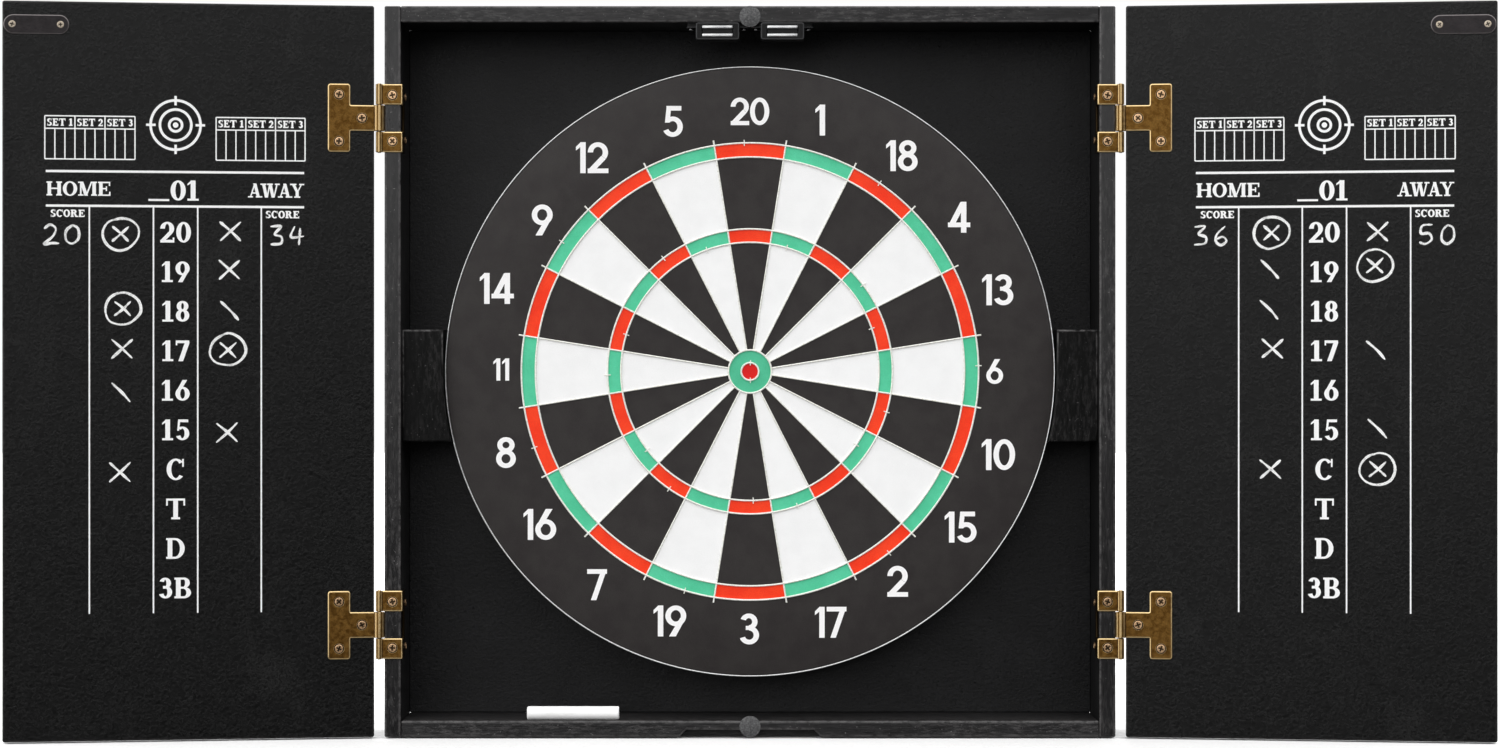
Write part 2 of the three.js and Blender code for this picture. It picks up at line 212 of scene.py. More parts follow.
def plate(outline, span, ease, rim=1.0, holes=(), steps=3):
    # an outline carried from one face to the other and drawn in by a quarter circle at each:
    # inset = ease (1 - sin a), height = ease (1 - cos a), with a flat rim inside it. A hole is
    # eased the other way, and less
    low, high = span
    angle = np.linspace(0, math.pi / 2, steps + 1)
    inset = np.concatenate([[ease + rim], ease * (1 - np.sin(angle))])
    height = np.concatenate([[0], ease * (1 - np.cos(angle))])
    worn = np.concatenate([[0], np.ones(steps + 1)])
    if high - low > 2 * (ease + rim):
        inset, height = np.append(inset, 0), np.append(height, ease + rim)
        worn = np.append(worn, 0)
    inset = np.concatenate([inset, inset[::-1]])
    height = np.concatenate([low + height, high - height[::-1]])
    worn = np.concatenate([worn, worn[::-1]])
    shapes, start, caps = [], 0, [[], []]
    holeEase = -0.3
    for index, loop in enumerate([outline, *holes]):
        grow = 1 if index == 0 else holeEase
        rings = [loop(grow * step) for step in inset]
        count = len(rings[0])
        points = np.stack([np.column_stack([ring, np.full(count, level)])
                           for ring, level in zip(rings, height)])
        edge = np.repeat(worn, count)
        depth = np.repeat((height - low) / (high - low), count)
        faces = gridFaces(len(rings), count, wrapColumns=True)
        shapes.append(Shape(points, faces, edge, depth))
        last = start + (len(rings) - 1) * count
        caps[0].append((rings[0], start))
        caps[1].append((rings[-1], last))
        start += len(rings) * count
    whole = joined(shapes)
    for cap in caps:
        numbers = [first + index for ring, first in cap for index in range(len(ring))]
        if len(cap) == 1:
            whole.faces.append(tuple(numbers))
        else:
            loops = [[Vector((x, y, 0)) for x, y in ring] for ring, _ in cap]
            whole.faces += [tuple(numbers[i] for i in face) for face in tessellate_polygon(loops)]
    return whole


def turnedRound(profile, segments=48, closed=False, wear=None):
    # every point (radius, y) of the profile goes round the Y axis: x = r cos t, z = r sin t
    radius, y = np.array(profile, float).T
    angle = np.arange(segments) * 2 * math.pi / segments
    points = np.stack([np.outer(np.cos(angle), radius), np.tile(y, (segments, 1)),
                       np.outer(np.sin(angle), radius)], axis=-1)
    edge = None if wear is None else np.tile(wear, segments)
    return Shape(points, gridFaces(segments, len(radius), True, closed), edge)


def quarter(centre, radius, start, end, steps=4):
    # arc of a profile between two angles in degrees
    angle = np.radians(np.linspace(start, end, steps + 1))
    return [(centre[0] + radius * math.cos(a), centre[1] + radius * math.sin(a)) for a in angle]


def wireAlong(path, radius, sides=8, closed=False):
    # a circle carried along a path in the XZ plane: across the path by cos t, towards Y by sin t
    path, forward = np.array(path, float), np.array([0, 1, 0])
    if closed:
        ahead = np.roll(path, -1, axis=0) - np.roll(path, 1, axis=0)
    else:
        ahead = np.gradient(path, axis=0)
    across = unit(np.cross(ahead, forward))
    angle = (np.arange(sides) * 2 * math.pi / sides)[None, :, None]
    ring = np.cos(angle) * across[:, None] + np.sin(angle) * forward
    shape = Shape(path[:, None] + radius * ring, gridFaces(len(path), sides, closed, True))
    if not closed:
        shape.faces.append(tuple(range(sides)))
        shape.faces.append(tuple(range((len(path) - 1) * sides, len(path) * sides)))
    return shape


def strip(left, right, top, closed=False):
    # a thin stroke between two lines of as many points each, raised from 0: a four-sided section
    left, right = np.array(left, float), np.array(right, float)
    sections = [np.column_stack([line, np.full(len(line), level)])
                for line, level in ((left, top), (right, top), (right, 0), (left, 0))]
    shape = Shape(np.stack(sections, axis=1), gridFaces(len(left), 4, closed, True))
    if not closed:
        shape.faces.append((0, 1, 2, 3))
        last = 4 * len(left)
        shape.faces.append((last - 1, last - 2, last - 3, last - 4))
    return shape


mesher = {"mergeGap": 2e-7, "creaseAngle": math.radians(40)}  # metres, and where shading breaks


def addPiece(name, shape, material, body, slot, *nodes):
    mesh = bpy.data.meshes.new(name)
    mesh.from_pydata((shape.points * mm).tolist(), [], shape.faces)
    for label in ("edge", "depth"):
        layer = mesh.attributes.new(label, "FLOAT", "POINT")
        layer.data.foreach_set("value", getattr(shape, label).astype(np.float32))
    work = bmesh.new()
    work.from_mesh(mesh)
    bmesh.ops.remove_doubles(work, verts=work.verts, dist=mesher["mergeGap"])
    bmesh.ops.dissolve_degenerate(work, edges=work.edges, dist=mesher["mergeGap"])
    bmesh.ops.recalc_face_normals(work, faces=work.faces)
    work.to_mesh(mesh)
    work.free()
    mesh.shade_smooth()
    mesh.set_sharp_from_angle(angle=mesher["creaseAngle"])
    mesh.materials.append(material)
    piece = bpy.data.objects.new(name, mesh)
    scene.collection.objects.link(piece)
    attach(piece, body)
    if nodes:
        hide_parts(*nodes)
    return piece


def keepNode(name, material):  # a CAD node whose shape is right gets its finish
    node = frame["nodes"][name]
    node.data.materials.clear()
    node.data.materials.append(material)


# Materials

def tone(red, green, blue):
    # a colour given as it is seen on a screen, from 0 to 255, turned into light
    seen = np.array([red, green, blue]) / 255
    light = np.where(seen < 0.04045, seen / 12.92, ((seen + 0.055) / 1.055) ** 2.4)
    return (*light.tolist(), 1.0)


def operator(operation, swapped=False):
    # an arithmetic method of Signal, which adds a Math node
    def method(self, other):
        values = (other, self) if swapped else (self, other)
        return self.wiring.maths(operation, *values)
    return method


class Signal:
    # A node's output that works in arithmetic
    def __init__(self, wiring, socket):
        self.wiring, self.socket = wiring, socket

    __add__ = __radd__ = operator("ADD")
    __mul__ = __rmul__ = operator("MULTIPLY")
    __sub__ = operator("SUBTRACT")
    __rsub__ = operator("SUBTRACT", True)
    __truediv__ = operator("DIVIDE")
    __gt__ = operator("GREATER_THAN")
    __lt__ = operator("LESS_THAN")


class Wiring:
    # A node tree being built, empty at first
    def __init__(self, owner):
        owner.use_nodes = True
        self.tree = owner.node_tree
        self.tree.nodes.clear()

    def socketOf(self, sockets, key):
        if isinstance(key, int):
            return sockets[key]
        return next(s for s in sockets if key in (s.identifier, s.name))

    def add(self, kind, settings=None, inputs=None, output=0):
        node = self.tree.nodes.new(kind)
        for setting, value in (settings or {}).items():
            setattr(node, setting, value)
        for key, value in (inputs or {}).items():
            socket = self.socketOf(node.inputs, key)
            if isinstance(value, Signal):
                self.tree.links.new(value.socket, socket)
            else:
                socket.default_value = value
        return Signal(self, self.socketOf(node.outputs, output)) if node.outputs else None

    def maths(self, operation, *values):
        return self.add("ShaderNodeMath", {"operation": operation}, dict(enumerate(values)))

    def ramp(self, signal, low, high, outLow=0.0, outHigh=1.0):  # a smooth step
        inputs = {"Value": signal, "From Min": low, "From Max": high,
                  "To Min": outLow, "To Max": outHigh}
        return self.add("ShaderNodeMapRange", {"interpolation_type": "SMOOTHSTEP"}, inputs)


class Finish(Wiring):
    # A material being built; the Principled shader's fixed values are given with its name
    def __init__(self, name, **fixed):
        self.material = bpy.data.materials.new(name)
        super().__init__(self.material)
        self.fixed = {socket.replace("_", " "): value for socket, value in fixed.items()}
        self.place = self.add("ShaderNodeTexCoord", output="Object")

    def along(self, axis):  # a point's place along an axis, in millimetres
        return self.add("ShaderNodeSeparateXYZ", {}, {"Vector": self.place}, axis) / mm

    def stretched(self, along, amount):  # coordinates drawn out along one axis
        scale = [1 / amount if axis == along else 1 for axis in "xyz"]
        return self.add("ShaderNodeMapping", {}, {"Vector": self.place, "Scale": scale})

    def noise(self, size, detail=3.0, roughness=0.55, place=None, distortion=0.0):
        inputs = {"Vector": place or self.place, "Scale": 1 / (size * mm), "Detail": detail,
                  "Roughness": roughness, "Distortion": distortion}
        return self.add("ShaderNodeTexNoise", {}, inputs)

    def cells(self, size, place=None, output="Distance"):
        inputs = {"Vector": place or self.place, "Scale": 1 / (size * mm)}
        return self.add("ShaderNodeTexVoronoi", {}, inputs, output)

    def mix(self, factor, first, second):
        inputs = {"Factor_Float": factor, "A_Color": first, "B_Color": second}
        return self.add("ShaderNodeMix", {"data_type": "RGBA"}, inputs, "Result_Color")

    def between(self, signal, first, second, low=0.3, high=0.7):
        # from one colour to another as the signal climbs from low to high
        return self.mix(self.ramp(signal, low, high), first, second)

    def shaded(self, colour, signal):  # a colour made darker or lighter by a number
        inputs = {0: colour, 3: signal}
        return self.add("ShaderNodeVectorMath", {"operation": "SCALE"}, inputs)

    def attribute(self, name):
        return self.add("ShaderNodeAttribute", {"attribute_name": name}, {}, "Fac")

    def finished(self, colour=None, roughness=None, height=None, deep=0.1):
        sockets = dict(self.fixed)
        if colour is not None:
            bump = self.add("ShaderNodeBump", {}, {"Height": height, "Distance": deep * mm})
            sockets.update({"Base Color": colour, "Roughness": roughness, "Normal": bump})
        shader = self.add("ShaderNodeBsdfPrincipled", {}, sockets)
        self.add("ShaderNodeOutputMaterial", {}, {"Surface": shader})
        return self.material


def blackPaint(name, along, dark, light, worn, gloss, scuffed):
    # satin black over open grain, lighter where the edges have rubbed and in scuffed patches,
    # and with painted shade darkening the faces set back inside the box
    look = Finish(name, Specular_IOR_Level=gloss)
    grain = look.noise(0.9, 4, 0.6, look.stretched(along, 16))
    figure = look.noise(5, 3, 0.5, look.stretched(along, 9))
    pores = look.ramp(look.noise(0.5, 2, 0.5, look.stretched(along, 20)), 0.6, 0.7)
    rub = look.attribute("edge") * look.ramp(look.noise(4, 4, 0.65), 0.3, 0.62)
    chips = look.ramp(look.noise(1.7, 2, 0.5), 0.69, 0.73)
    body = look.between(figure, dark, light)
    body = look.shaded(body, look.ramp(grain, 0.25, 0.75, 0.62, 1.42))
    body = look.mix(pores * 0.6, body, tone(10, 10, 10))
    scuffs = look.ramp(look.noise(2.4, 5, 0.75, look.stretched(along, 4)), 0.46, 0.64)
    patches = look.ramp(look.noise(48, 3, 0.6, look.stretched(along, 2)), 0.4, 0.6)
    body = look.mix(scuffs * (patches * 0.36 + 0.06) * scuffed, body, tone(92, 90, 90))
    # the worn tone is rubbed paint on the frame, and on the cradle blocks a painted highlight along
    # their top edge
    body = look.mix(rub * 0.6, body, worn)
    body = look.mix(chips * 0.5, body, tone(132, 130, 130))
    # painted shade: the colour falls to 0.45 on faces set back inside the box
    body = look.shaded(body, look.ramp(look.along("Y"), frontY + 1.2, frontY + 3.5, 1.0, 0.45))
    rough = look.ramp(grain, 0.2, 0.8, 0.28, 0.42)
    return look.finished(body, rough, grain - pores * 0.8, 0.09)


def chalkboard():
    # black face with a fine leathery tooth and a faint haze of wiped chalk, painted grain behind
    look = Finish("chalkboardPaint", Specular_IOR_Level=0.21)
    tooth = look.noise(0.5, 3, 0.7)
    leather = look.noise(2.4, 4, 0.75, None, 0.5)
    mottle = look.noise(11, 4, 0.6)
    grain = look.noise(0.9, 4, 0.6, look.stretched("z", 16))
    face = look.ramp(look.attribute("depth"), 0.9, 0.97)
    wiped = look.noise(46, 5, 0.62, look.stretched("z", 1.8), 0.8)
    dust = look.ramp(wiped, 0.52, 0.8) * look.ramp(look.noise(1.3, 4, 0.7), 0.35, 0.8)
    board = look.between(mottle, tone(8, 8, 8), tone(12, 12, 12))
    board = look.shaded(board, look.ramp(leather + (tooth - 0.5) * 0.4, 0.34, 0.66, 0.3, 2.2))
    board = look.mix(dust * 0.045, board, tone(170, 170, 168))
    outside = look.shaded(tone(24, 23, 24)[:3], look.ramp(grain, 0.25, 0.75, 0.6, 1.4))
    body = look.mix(face, outside, board)
    rub = look.attribute("edge") * look.ramp(look.noise(5, 4, 0.65), 0.3, 0.65)
    body = look.mix(rub * 0.4, body, tone(70, 68, 68))
    rough = look.ramp(face, 0, 1, 0.4, 0.21) + (leather - 0.5) * 0.16
    height = look.ramp(face, 0, 1, 1, 0) * grain + face * leather
    return look.finished(body, rough, height, 0.34)


def fibreBack():
    # painted fibreboard: short matted fibres in two sizes
    look = Finish("fibreBackPaint", Specular_IOR_Level=0.19)
    mat = look.noise(2.3, 5, 0.76, None, 1.6)
    knots = look.cells(2.6)
    cloud = look.noise(38, 3, 0.5)
    body = look.between(cloud, tone(10, 10, 11), tone(15, 15, 16))
    body = look.shaded(body, look.ramp(mat, 0.32, 0.68, 0.3, 2.3))
    rough = look.ramp(mat, 0.3, 0.7, 0.26, 0.42)
    return look.finished(body, rough, mat + knots * 0.3, 0.3)


def antiqueBrass():
    # brown patina rubbed back to bright brass along the rims, where it also serves as a painted
    # highlight, and painted shade darkening the brass inside the box
    look = Finish("antiqueBrass", Metallic=1.0)
    # painted shade: brass set back inside the box is mixed towards a dark brown
    boxShade = look.ramp(look.along("Y"), frontY + 1.5, frontY + 4.0)
    cloud = look.noise(3.6, 4, 0.6, None, 0.4)
    speck = look.noise(0.5, 4, 0.7)
    brushed = look.noise(0.25, 2, 0.5, look.stretched("z", 12))
    body = look.between(cloud, tone(88, 60, 24), tone(122, 90, 44), 0.32, 0.68)
    body = look.shaded(body, look.ramp(speck, 0.3, 0.7, 0.66, 1.3))
    # the bright rim tone is rubbed brass and also a painted highlight on the eased edges
    rim = look.ramp(look.attribute("edge") + (speck - 0.5) * 0.4, 0.2, 0.85)
    body = look.mix(rim * 0.95, body, tone(244, 214, 158))
    body = look.mix(boxShade, body, tone(46, 36, 22))
    rough = look.ramp(cloud + (brushed - 0.5) * 0.4, 0.3, 0.7, 0.4, 0.54) - rim * 0.1
    return look.finished(body, rough, speck * 0.6 + brushed, 0.03)


def screwPlate(name, face, dark):
    # plated screw heads, darker in the pits, and with painted shade deep in the recess
    look = Finish(name, Metallic=1.0)
    speck = look.noise(0.5, 3, 0.65)
    turned = look.noise(0.2, 2, 0.5, look.stretched("x", 4))
    body = look.between(speck, dark, face, 0.34, 0.66)
    # painted shade: the colour falls to a tenth of itself low in each head and on the recess floor
    body = look.shaded(body, look.ramp(look.attribute("depth"), 0.6, 0.97, 0.1, 1.0))
    return look.finished(body, look.ramp(turned, 0.3, 0.7, 0.24, 0.42), speck, 0.03)


def brushedSteel(name, face, dark, along, rimTone=None):
    # fine lines along one way over cloudy plating
    look = Finish(name, Metallic=1.0)
    lines = look.noise(0.3, 3, 0.6, look.stretched(along, 26))
    cloud = look.noise(6, 3, 0.55)
    body = look.between(lines * 0.6 + cloud * 0.4, dark, face, 0.35, 0.65)
    if rimTone is not None:
        body = look.mix(look.attribute("edge") * 0.8, body, rimTone)
    return look.finished(body, look.ramp(lines, 0.3, 0.7, 0.26, 0.42), lines, 0.02)


def twoTone(name, texture, dark, light, rough, deep, low=0.3, high=0.7, drawn=None, rim=None,
            **fixed):
    # one noise drives the colour, the roughness and the relief; rim is a tone for where the edge
    # attribute is set, which on the bumper is painted shade in its crease
    look = Finish(name, **fixed)
    grit = look.noise(*texture, look.stretched(*drawn) if drawn else None)
    body = look.between(grit, dark, light, low, high)
    if rim is not None:
        body = look.mix(look.attribute("edge") * 0.6, body, rim)
    return look.finished(body, look.ramp(grit, 0.3, 0.7, *rough), grit, deep)


def mouldedPlastic():
    # spark-eroded mould texture, with a painted highlight lightening the eased edges
    look = Finish("mouldedPlastic", Specular_IOR_Level=0.18)
    skin = look.cells(0.45)
    cloud = look.noise(7, 3, 0.5)
    body = look.between(cloud, tone(9, 9, 10), tone(15, 15, 16))
    # painted highlight along the eased edges
    body = look.mix(look.attribute("edge") * 0.4, body, tone(96, 96, 98))
    return look.finished(body, look.ramp(skin, 0.1, 0.6, 0.3, 0.46), skin, 0.03)


scoring = {"sectors": 20, "innerBull": 6.5, "outerBull": 16,
           "triple": (96, 106), "double": (159.5, 170)}


def sisalFace():
    # The scoring pattern in polar form: radius = sqrt(x x + z z), and the sector is the whole
    # part of 20 turns + 1/2. End-on bristles break up every colour and its borders
    look = Finish("dyedSisal", Specular_IOR_Level=0.25)
    x, z = look.along("X"), look.along("Z")
    bristle = look.noise(0.8, 4, 0.75)
    tuft = look.noise(14, 4, 0.6)
    frayed = (look.noise(1.1, 2, 0.5) - 0.5) * 0.9
    radius = look.maths("SQRT", x * x + z * z) + frayed
    turn = look.maths("ARCTAN2", x, z) / (2 * math.pi) * scoring["sectors"] + 0.5
    light = look.maths("FLOORED_MODULO", look.maths("FLOOR", turn), 2.0)
    rings = 0.0
    for inner, outer in (scoring["triple"], scoring["double"]):
        rings = (radius > inner) * (radius < outer) + rings
    patch = look.ramp(tuft, 0.3, 0.7)
    fleck = look.ramp(bristle, 0.28, 0.72, 0.78, 1.22)
    black = look.shaded(look.mix(patch, tone(40, 36, 36), tone(47, 44, 43)), fleck)
    paleFleck = look.ramp(bristle, 0.25, 0.75, 0.965, 1.01)
    white = look.shaded(look.mix(patch, tone(247, 247, 247), tone(251, 251, 251)), paleFleck)
    dyeFleck = look.ramp(bristle, 0.25, 0.75, 0.88, 1.1)
    green = look.shaded(look.mix(patch, tone(78, 198, 152), tone(90, 208, 164)), dyeFleck)
    red = look.shaded(look.mix(patch, tone(246, 52, 14), tone(253, 66, 26)), dyeFleck)
    bullGreen = look.shaded(green, 0.86)
    bullRed = look.shaded(look.mix(patch, tone(218, 18, 14), tone(226, 26, 22)), dyeFleck)
    body = look.mix(rings, look.mix(light, black, white), look.mix(light, red, green))
    body = look.mix(radius > scoring["double"][1], body, black)
    body = look.mix(radius < scoring["outerBull"], body, bullGreen)
    body = look.mix(radius < scoring["innerBull"], body, bullRed)
    rough = look.ramp(bristle, 0.3, 0.7, 0.4, 0.6)
    return look.finished(body, rough, bristle, 0.14)


def chalkStick():
    look = Finish("pressedChalk", Specular_IOR_Level=0.1)
    grain = look.noise(0.4, 4, 0.7)
    scuff = look.noise(3.5, 4, 0.65, look.stretched("x", 3))
    body = look.between(scuff, tone(244, 244, 243), tone(253, 253, 253), 0.3, 0.6)
    return look.finished(body, look.ramp(grain, 0.3, 0.7, 0.8, 0.96), grain + scuff, 0.06)


def printInk(name, thin, full, size):
    # screen-printed white with small pinholes
    look = Finish(name, Specular_IOR_Level=0.2)
    pinhole = look.ramp(look.noise(size, 4, 0.7), 0.24, 0.4)
    body = look.mix(pinhole, thin, full)
    return look.finished(body, look.ramp(look.noise(2, 3), 0.3, 0.7, 0.5, 0.65), pinhole, 0.02)


def chalkLine():
    # chalk dragged over the board's tooth: it catches on the high spots only
    look = Finish("chalkLine", Specular_IOR_Level=0.08)
    tooth = look.noise(0.42, 4, 0.75)
    press = look.noise(7, 3, 0.6)
    cover = look.ramp(tooth + (press - 0.5) * 0.5, 0.26, 0.52)
    body = look.mix(cover, tone(118, 118, 117), tone(246, 246, 245))
    return look.finished(body, look.ramp(tooth, 0.3, 0.7, 0.85, 0.97), tooth, 0.06)


framePaint = {"dark": tone(17, 16, 17), "light": tone(27, 26, 27), "worn": tone(92, 90, 90),
              "gloss": 0.36, "scuffed": 1.0}
# the cradle blocks take a darker copy of the frame paint as painted shade, and their worn tone is a
# painted highlight along their top edge
cradlePaint = {"dark": tone(6, 6, 6), "light": tone(12, 12, 12), "worn": tone(168, 165, 165),
               "gloss": 0.13, "scuffed": 0.8}
uprightPaint = blackPaint("blackPaintUpright", "z", **framePaint)
levelPaint = blackPaint("blackPaintLevel", "x", **framePaint)
blockPaint = blackPaint("blackPaintBlock", "z", **cradlePaint)
boardPaint = chalkboard()
backPaint = fibreBack()
brass = antiqueBrass()
screwBrass = screwPlate("screwBrass", tone(240, 204, 162), tone(190, 148, 108))
screwNickel = screwPlate("screwNickel", tone(206, 194, 176), tone(150, 138, 124))
screwSteel = screwPlate("screwSteel", tone(190, 190, 190), tone(120, 120, 121))
strikeSteel = brushedSteel("strikeSteel", tone(56, 53, 54), tone(42, 40, 41), "x",
                           tone(138, 132, 132))
poleSteel = brushedSteel("poleSteel", tone(226, 226, 226), tone(184, 184, 186), "x")
bandSteel = brushedSteel("bandSteel", tone(250, 250, 250), tone(214, 214, 214), "y")
wirePlate = twoTone("galvanisedWire", (1.4, 4, 0.65), tone(226, 225, 214), tone(250, 250, 246),
                    (0.26, 0.42), 0.02, 0.35, 0.65, Metallic=0.15)
magnetBlack = twoTone("ferriteMagnet", (0.35, 3, 0.7), tone(12, 12, 13), tone(26, 26, 27),
                      (0.4, 0.65), 0.05, Specular_IOR_Level=0.2)
catchPlastic = mouldedPlastic()
# a translucent grey pad with dust caught on it, and painted shade darkening its crease
bumperPad = twoTone("softBumper", (1.2, 4, 0.7), tone(58, 58, 59), tone(104, 104, 105), (0.4, 0.6),
                    0.03, 0.35, 0.7, rim=tone(40, 40, 41), Specular_IOR_Level=0.35,
                    Subsurface_Weight=0.15, Subsurface_Radius=[0.4 * mm] * 3)
sisal = sisalFace()
boardBacking = twoTone("rawFibreboard", (1.8, 5, 0.7), tone(138, 112, 82), tone(176, 150, 116),
                       (0.75, 0.92), 0.1, drawn=("x", 3), Specular_IOR_Level=0.2)
chalkWhite = chalkStick()
scoreInk = printInk("scoreInk", tone(150, 150, 150), tone(246, 246, 246), 0.5)
numberInk = printInk("numberInk", tone(176, 174, 174), tone(250, 249, 249), 0.7)
chalkDrawn = chalkLine()
print("materials made:", len(bpy.data.materials))


# Carcass: eased panels, the bottom one with its finger recess

carcass = {"ease": 1.1, "rim": 0.8, "corner": 1.2, "backEase": 0.4, "backCorner": 0.5}


def panel(node, faceAxes, thickAxis, ease, cornerRadius=carcass["corner"]):
    low, high = corners(node)
    a, b, t = ("xyz".index(axis) for axis in (*faceAxes, thickAxis))
    outline = cornered(rectangle((low[a], high[a]), (low[b], high[b])), cornerRadius)
    return plate(outline, (low[t], high[t]), ease, carcass["rim"]).laid(faceAxes + thickAxis)


for name in sides:
    node = f"side_panel_{name}"
    side = panel(node, "yz", "x", carcass["ease"])
    addPiece(f"side_board_{name}", side, uprightPaint, "cabinet", "painted_wood", node)
topBoard = panel("top_panel", "xy", "z", carcass["ease"])
addPiece("top_board", topBoard, levelPaint, "cabinet", "painted_wood", "top_panel")

recess = {"halfWidth": 52.5, "height": 5.2, "depth": 10, "stations": 6, "step": 0.01,
          "cornerZone": 2}


def recessedPanel():
    # a five-sided section in Y and Z carried along X; the notch in its front lower corner is as
    # high as the ramp min(1, (half width - |x|) / height) makes it
    low, high = corners("bottom_panel")
    ease, reach = carcass["ease"], recess["halfWidth"]
    ramp = np.linspace(reach, reach - recess["height"], recess["stations"])
    x = np.concatenate([[low[0], low[0] + ease], -ramp, ramp[::-1], [high[0] - ease, high[0]]])
    rise = np.clip((reach - np.abs(x)) / recess["height"], 0, 1) * recess["height"]
    drawn = np.where((x == low[0]) | (x == high[0]), ease, 0.0)
    frontTop = quarter((low[1] + ease, high[2] - ease), ease, 90, 180, 3)
    frontFoot = quarter((low[1] + ease, low[2] + ease), ease, 180, 270, 3)
    flatEnds = [(high[1], low[2]), (high[1], high[2])]
    rows = []
    for y, z in [*flatEnds, *frontTop, (low[1], high[2] - 2 * ease)]:
        rows.append((np.full_like(x, y), np.full_like(x, z)))
    rows.append((np.full_like(x, low[1]), low[2] + 2 * ease + rise))
    for y, z in frontFoot:
        rows.append((np.full_like(x, y), z + rise))
    inner = low[1] + recess["depth"]
    rows.append((np.full_like(x, inner), low[2] + rise))
    rows.append((np.full_like(x, inner + recess["step"]), np.full_like(x, low[2])))
    y = np.stack([row[0] for row in rows], axis=1)
    z = np.stack([row[1] for row in rows], axis=1)
    middle, zone, drawn = (low + high) / 2, recess["cornerZone"], drawn[:, None]
    y = np.clip(y, low[1] + drawn, high[1] - drawn)
    z = np.where(z > middle[2], z - drawn * (z > high[2] - zone), z + drawn * (z < low[2] + zone))
    points = np.stack([np.repeat(x[:, None], len(rows), axis=1), y, z], axis=-1)
    worn = np.zeros(len(rows))
    worn[2:2 + len(frontTop)] = 1
    worn[4 + len(frontTop):4 + len(frontTop) + len(frontFoot)] = 1
    shape = Shape(points, gridFaces(len(x), len(rows), False, True), np.tile(worn, len(x)))
    shape.faces.append(tuple(range(len(rows))))
    shape.faces.append(tuple(range((len(x) - 1) * len(rows), len(x) * len(rows))))
    return shape


addPiece("bottom_board", recessedPanel(), levelPaint, "cabinet", "painted_wood", "bottom_panel")
backSheet = panel("back_panel", "xz", "y", carcass["backEase"], carcass["backCorner"])
addPiece("back_sheet", backSheet, backPaint, "cabinet", "back_board", "back_panel")

# "gap" is from the sisal's rim, so it takes in the band; the painted highlight along each
# block's top edge is measured down from the top
cradle = {"ease": 0.8, "rim": 0.8, "gap": 2.0, "rubbed": 1.5, "arcSteps": 14}
for name, side in sides.items():
    node = f"board_cradle_{name}"
    low, high = corners(node)
    reach = boardHigh[0] + cradle["gap"]
    angle = np.linspace(0, math.asin(low[2] / reach), cradle["arcSteps"])
    arc = np.stack([reach * np.cos(angle), reach * np.sin(angle)], axis=1)
    wall = np.array([(innerWall, low[2]), (innerWall, high[2]), (reach, high[2])])
    outline = freehand(np.vstack([wall, arc]))
    block = plate(outline, (low[1], high[1]), cradle["ease"], cradle["rim"])
    block = block.laid("xzy").mirrored(-side)
    # painted highlight: edge lightening is kept only along the top edge of each block
    block.edge = block.edge * (block.points[:, 2] > high[2] - cradle["rubbed"])
    addPiece(f"rim_block_{name}", block, blockPaint, "cabinet", "painted_wood", node)
print("carcass made")


# Screws: a domed head with a cross-shaped recess, and a pointed shank

screwFields = ("head", "dome", "deep", "cross", "slot", "shank", "long")
screwSizes = {kind: dict(zip(screwFields, sizes)) for kind, sizes in {
    "hinge": (3.1, 0.28, 1.2, 2.1, 1.25, 1.5, 9.5),
    "flange": (3.1, 2.1, 1.2, 1.6, 0.8, 1.4, 8.0),
    "strike": (2.6, 0.38, 0.8, 1.5, 0.8, 1.2, 8.0),
    "ear": (2.2, 1.3, 0.8, 1.2, 0.6, 1.0, 8.0),
}.items()}
# a flat head is eased by "flatEase", a domed one by a share of its dome's height
screwForm = {"flatEase": 0.25, "domeShare": 0.8, "mostEase": 0.9, "floorPast": 0.5, "point": 3,
             "neck": 2.2, "top": -0.9, "topPast": 0.4}


def screw(kind, turn):
    # along the third axis from the surface: a domed plate with a cross through it, a floor
    # under that which the finish darkens as painted shade, and the shank
    size, form = screwSizes[kind], screwForm
    reach, half = size["cross"], size["slot"] / 2
    arms = []
    for quarterTurn in range(4):
        angle = math.radians(90 * quarterTurn + turn)
        spin = np.array([[math.cos(angle), -math.sin(angle)], [math.sin(angle), math.cos(angle)]])
        arms.append(np.array([(reach, -half), (reach, half), (half, half)]) @ spin.T)
    domed = min(size["dome"] * form["domeShare"], form["mostEase"])
    ease = domed if size["dome"] > 1 else form["flatEase"]
    foot = size["dome"] - size["deep"]
    head = plate(circle(size["head"], steps=24), (foot, size["dome"]), ease, 0.3,
                 [freehand(np.vstack(arms))])
    past = form["floorPast"]
    floor = plate(circle(reach + past, steps=12), (foot - past, foot + 0.1), 0.05, 0.05)
    # depth 0 gives the recess floor the screw finish's painted shade
    floor.depth[:] = 0
    taper = [(0, -size["long"]), (size["shank"], -size["long"] + form["point"]),
             (size["shank"], -form["neck"]), (reach + form["topPast"], form["top"]), (0, form["top"])]
    shank = turnedRound(taper, 12).laid("xzy")
    return joined([head, floor, shank])


# Hinges, in the pin's frame with the box towards +X

hinge = {"thick": 1.4, "half": 25.15, "notch": 10.0, "notchDeep": 9.0, "bend": 17.1,
         "flangeDeep": 18.0, "flangeScrewY": 7.0, "knuckle": 2.6, "teeKnuckle": 4.0, "bore": 1.75,
         "stem": 9.5, "barNear": 21.2, "barFar": 37.7, "corner": 2.0, "screwRoom": 0.6,
         "rim": 0.5, "ease": 0.6, "pin": 1.5, "pinPast": 0.5}
doorLeafY = (-0.85, 0.55)
frameLeafY = (-0.4, 1.0)
doorScrews = [(29.5, 17.3), (12.7, 0.0), (29.5, -17.3)]
frameScrews = [(9.7, 17.0), (9.7, -17.0)]
flangeScrews = [16.0, -16.0]


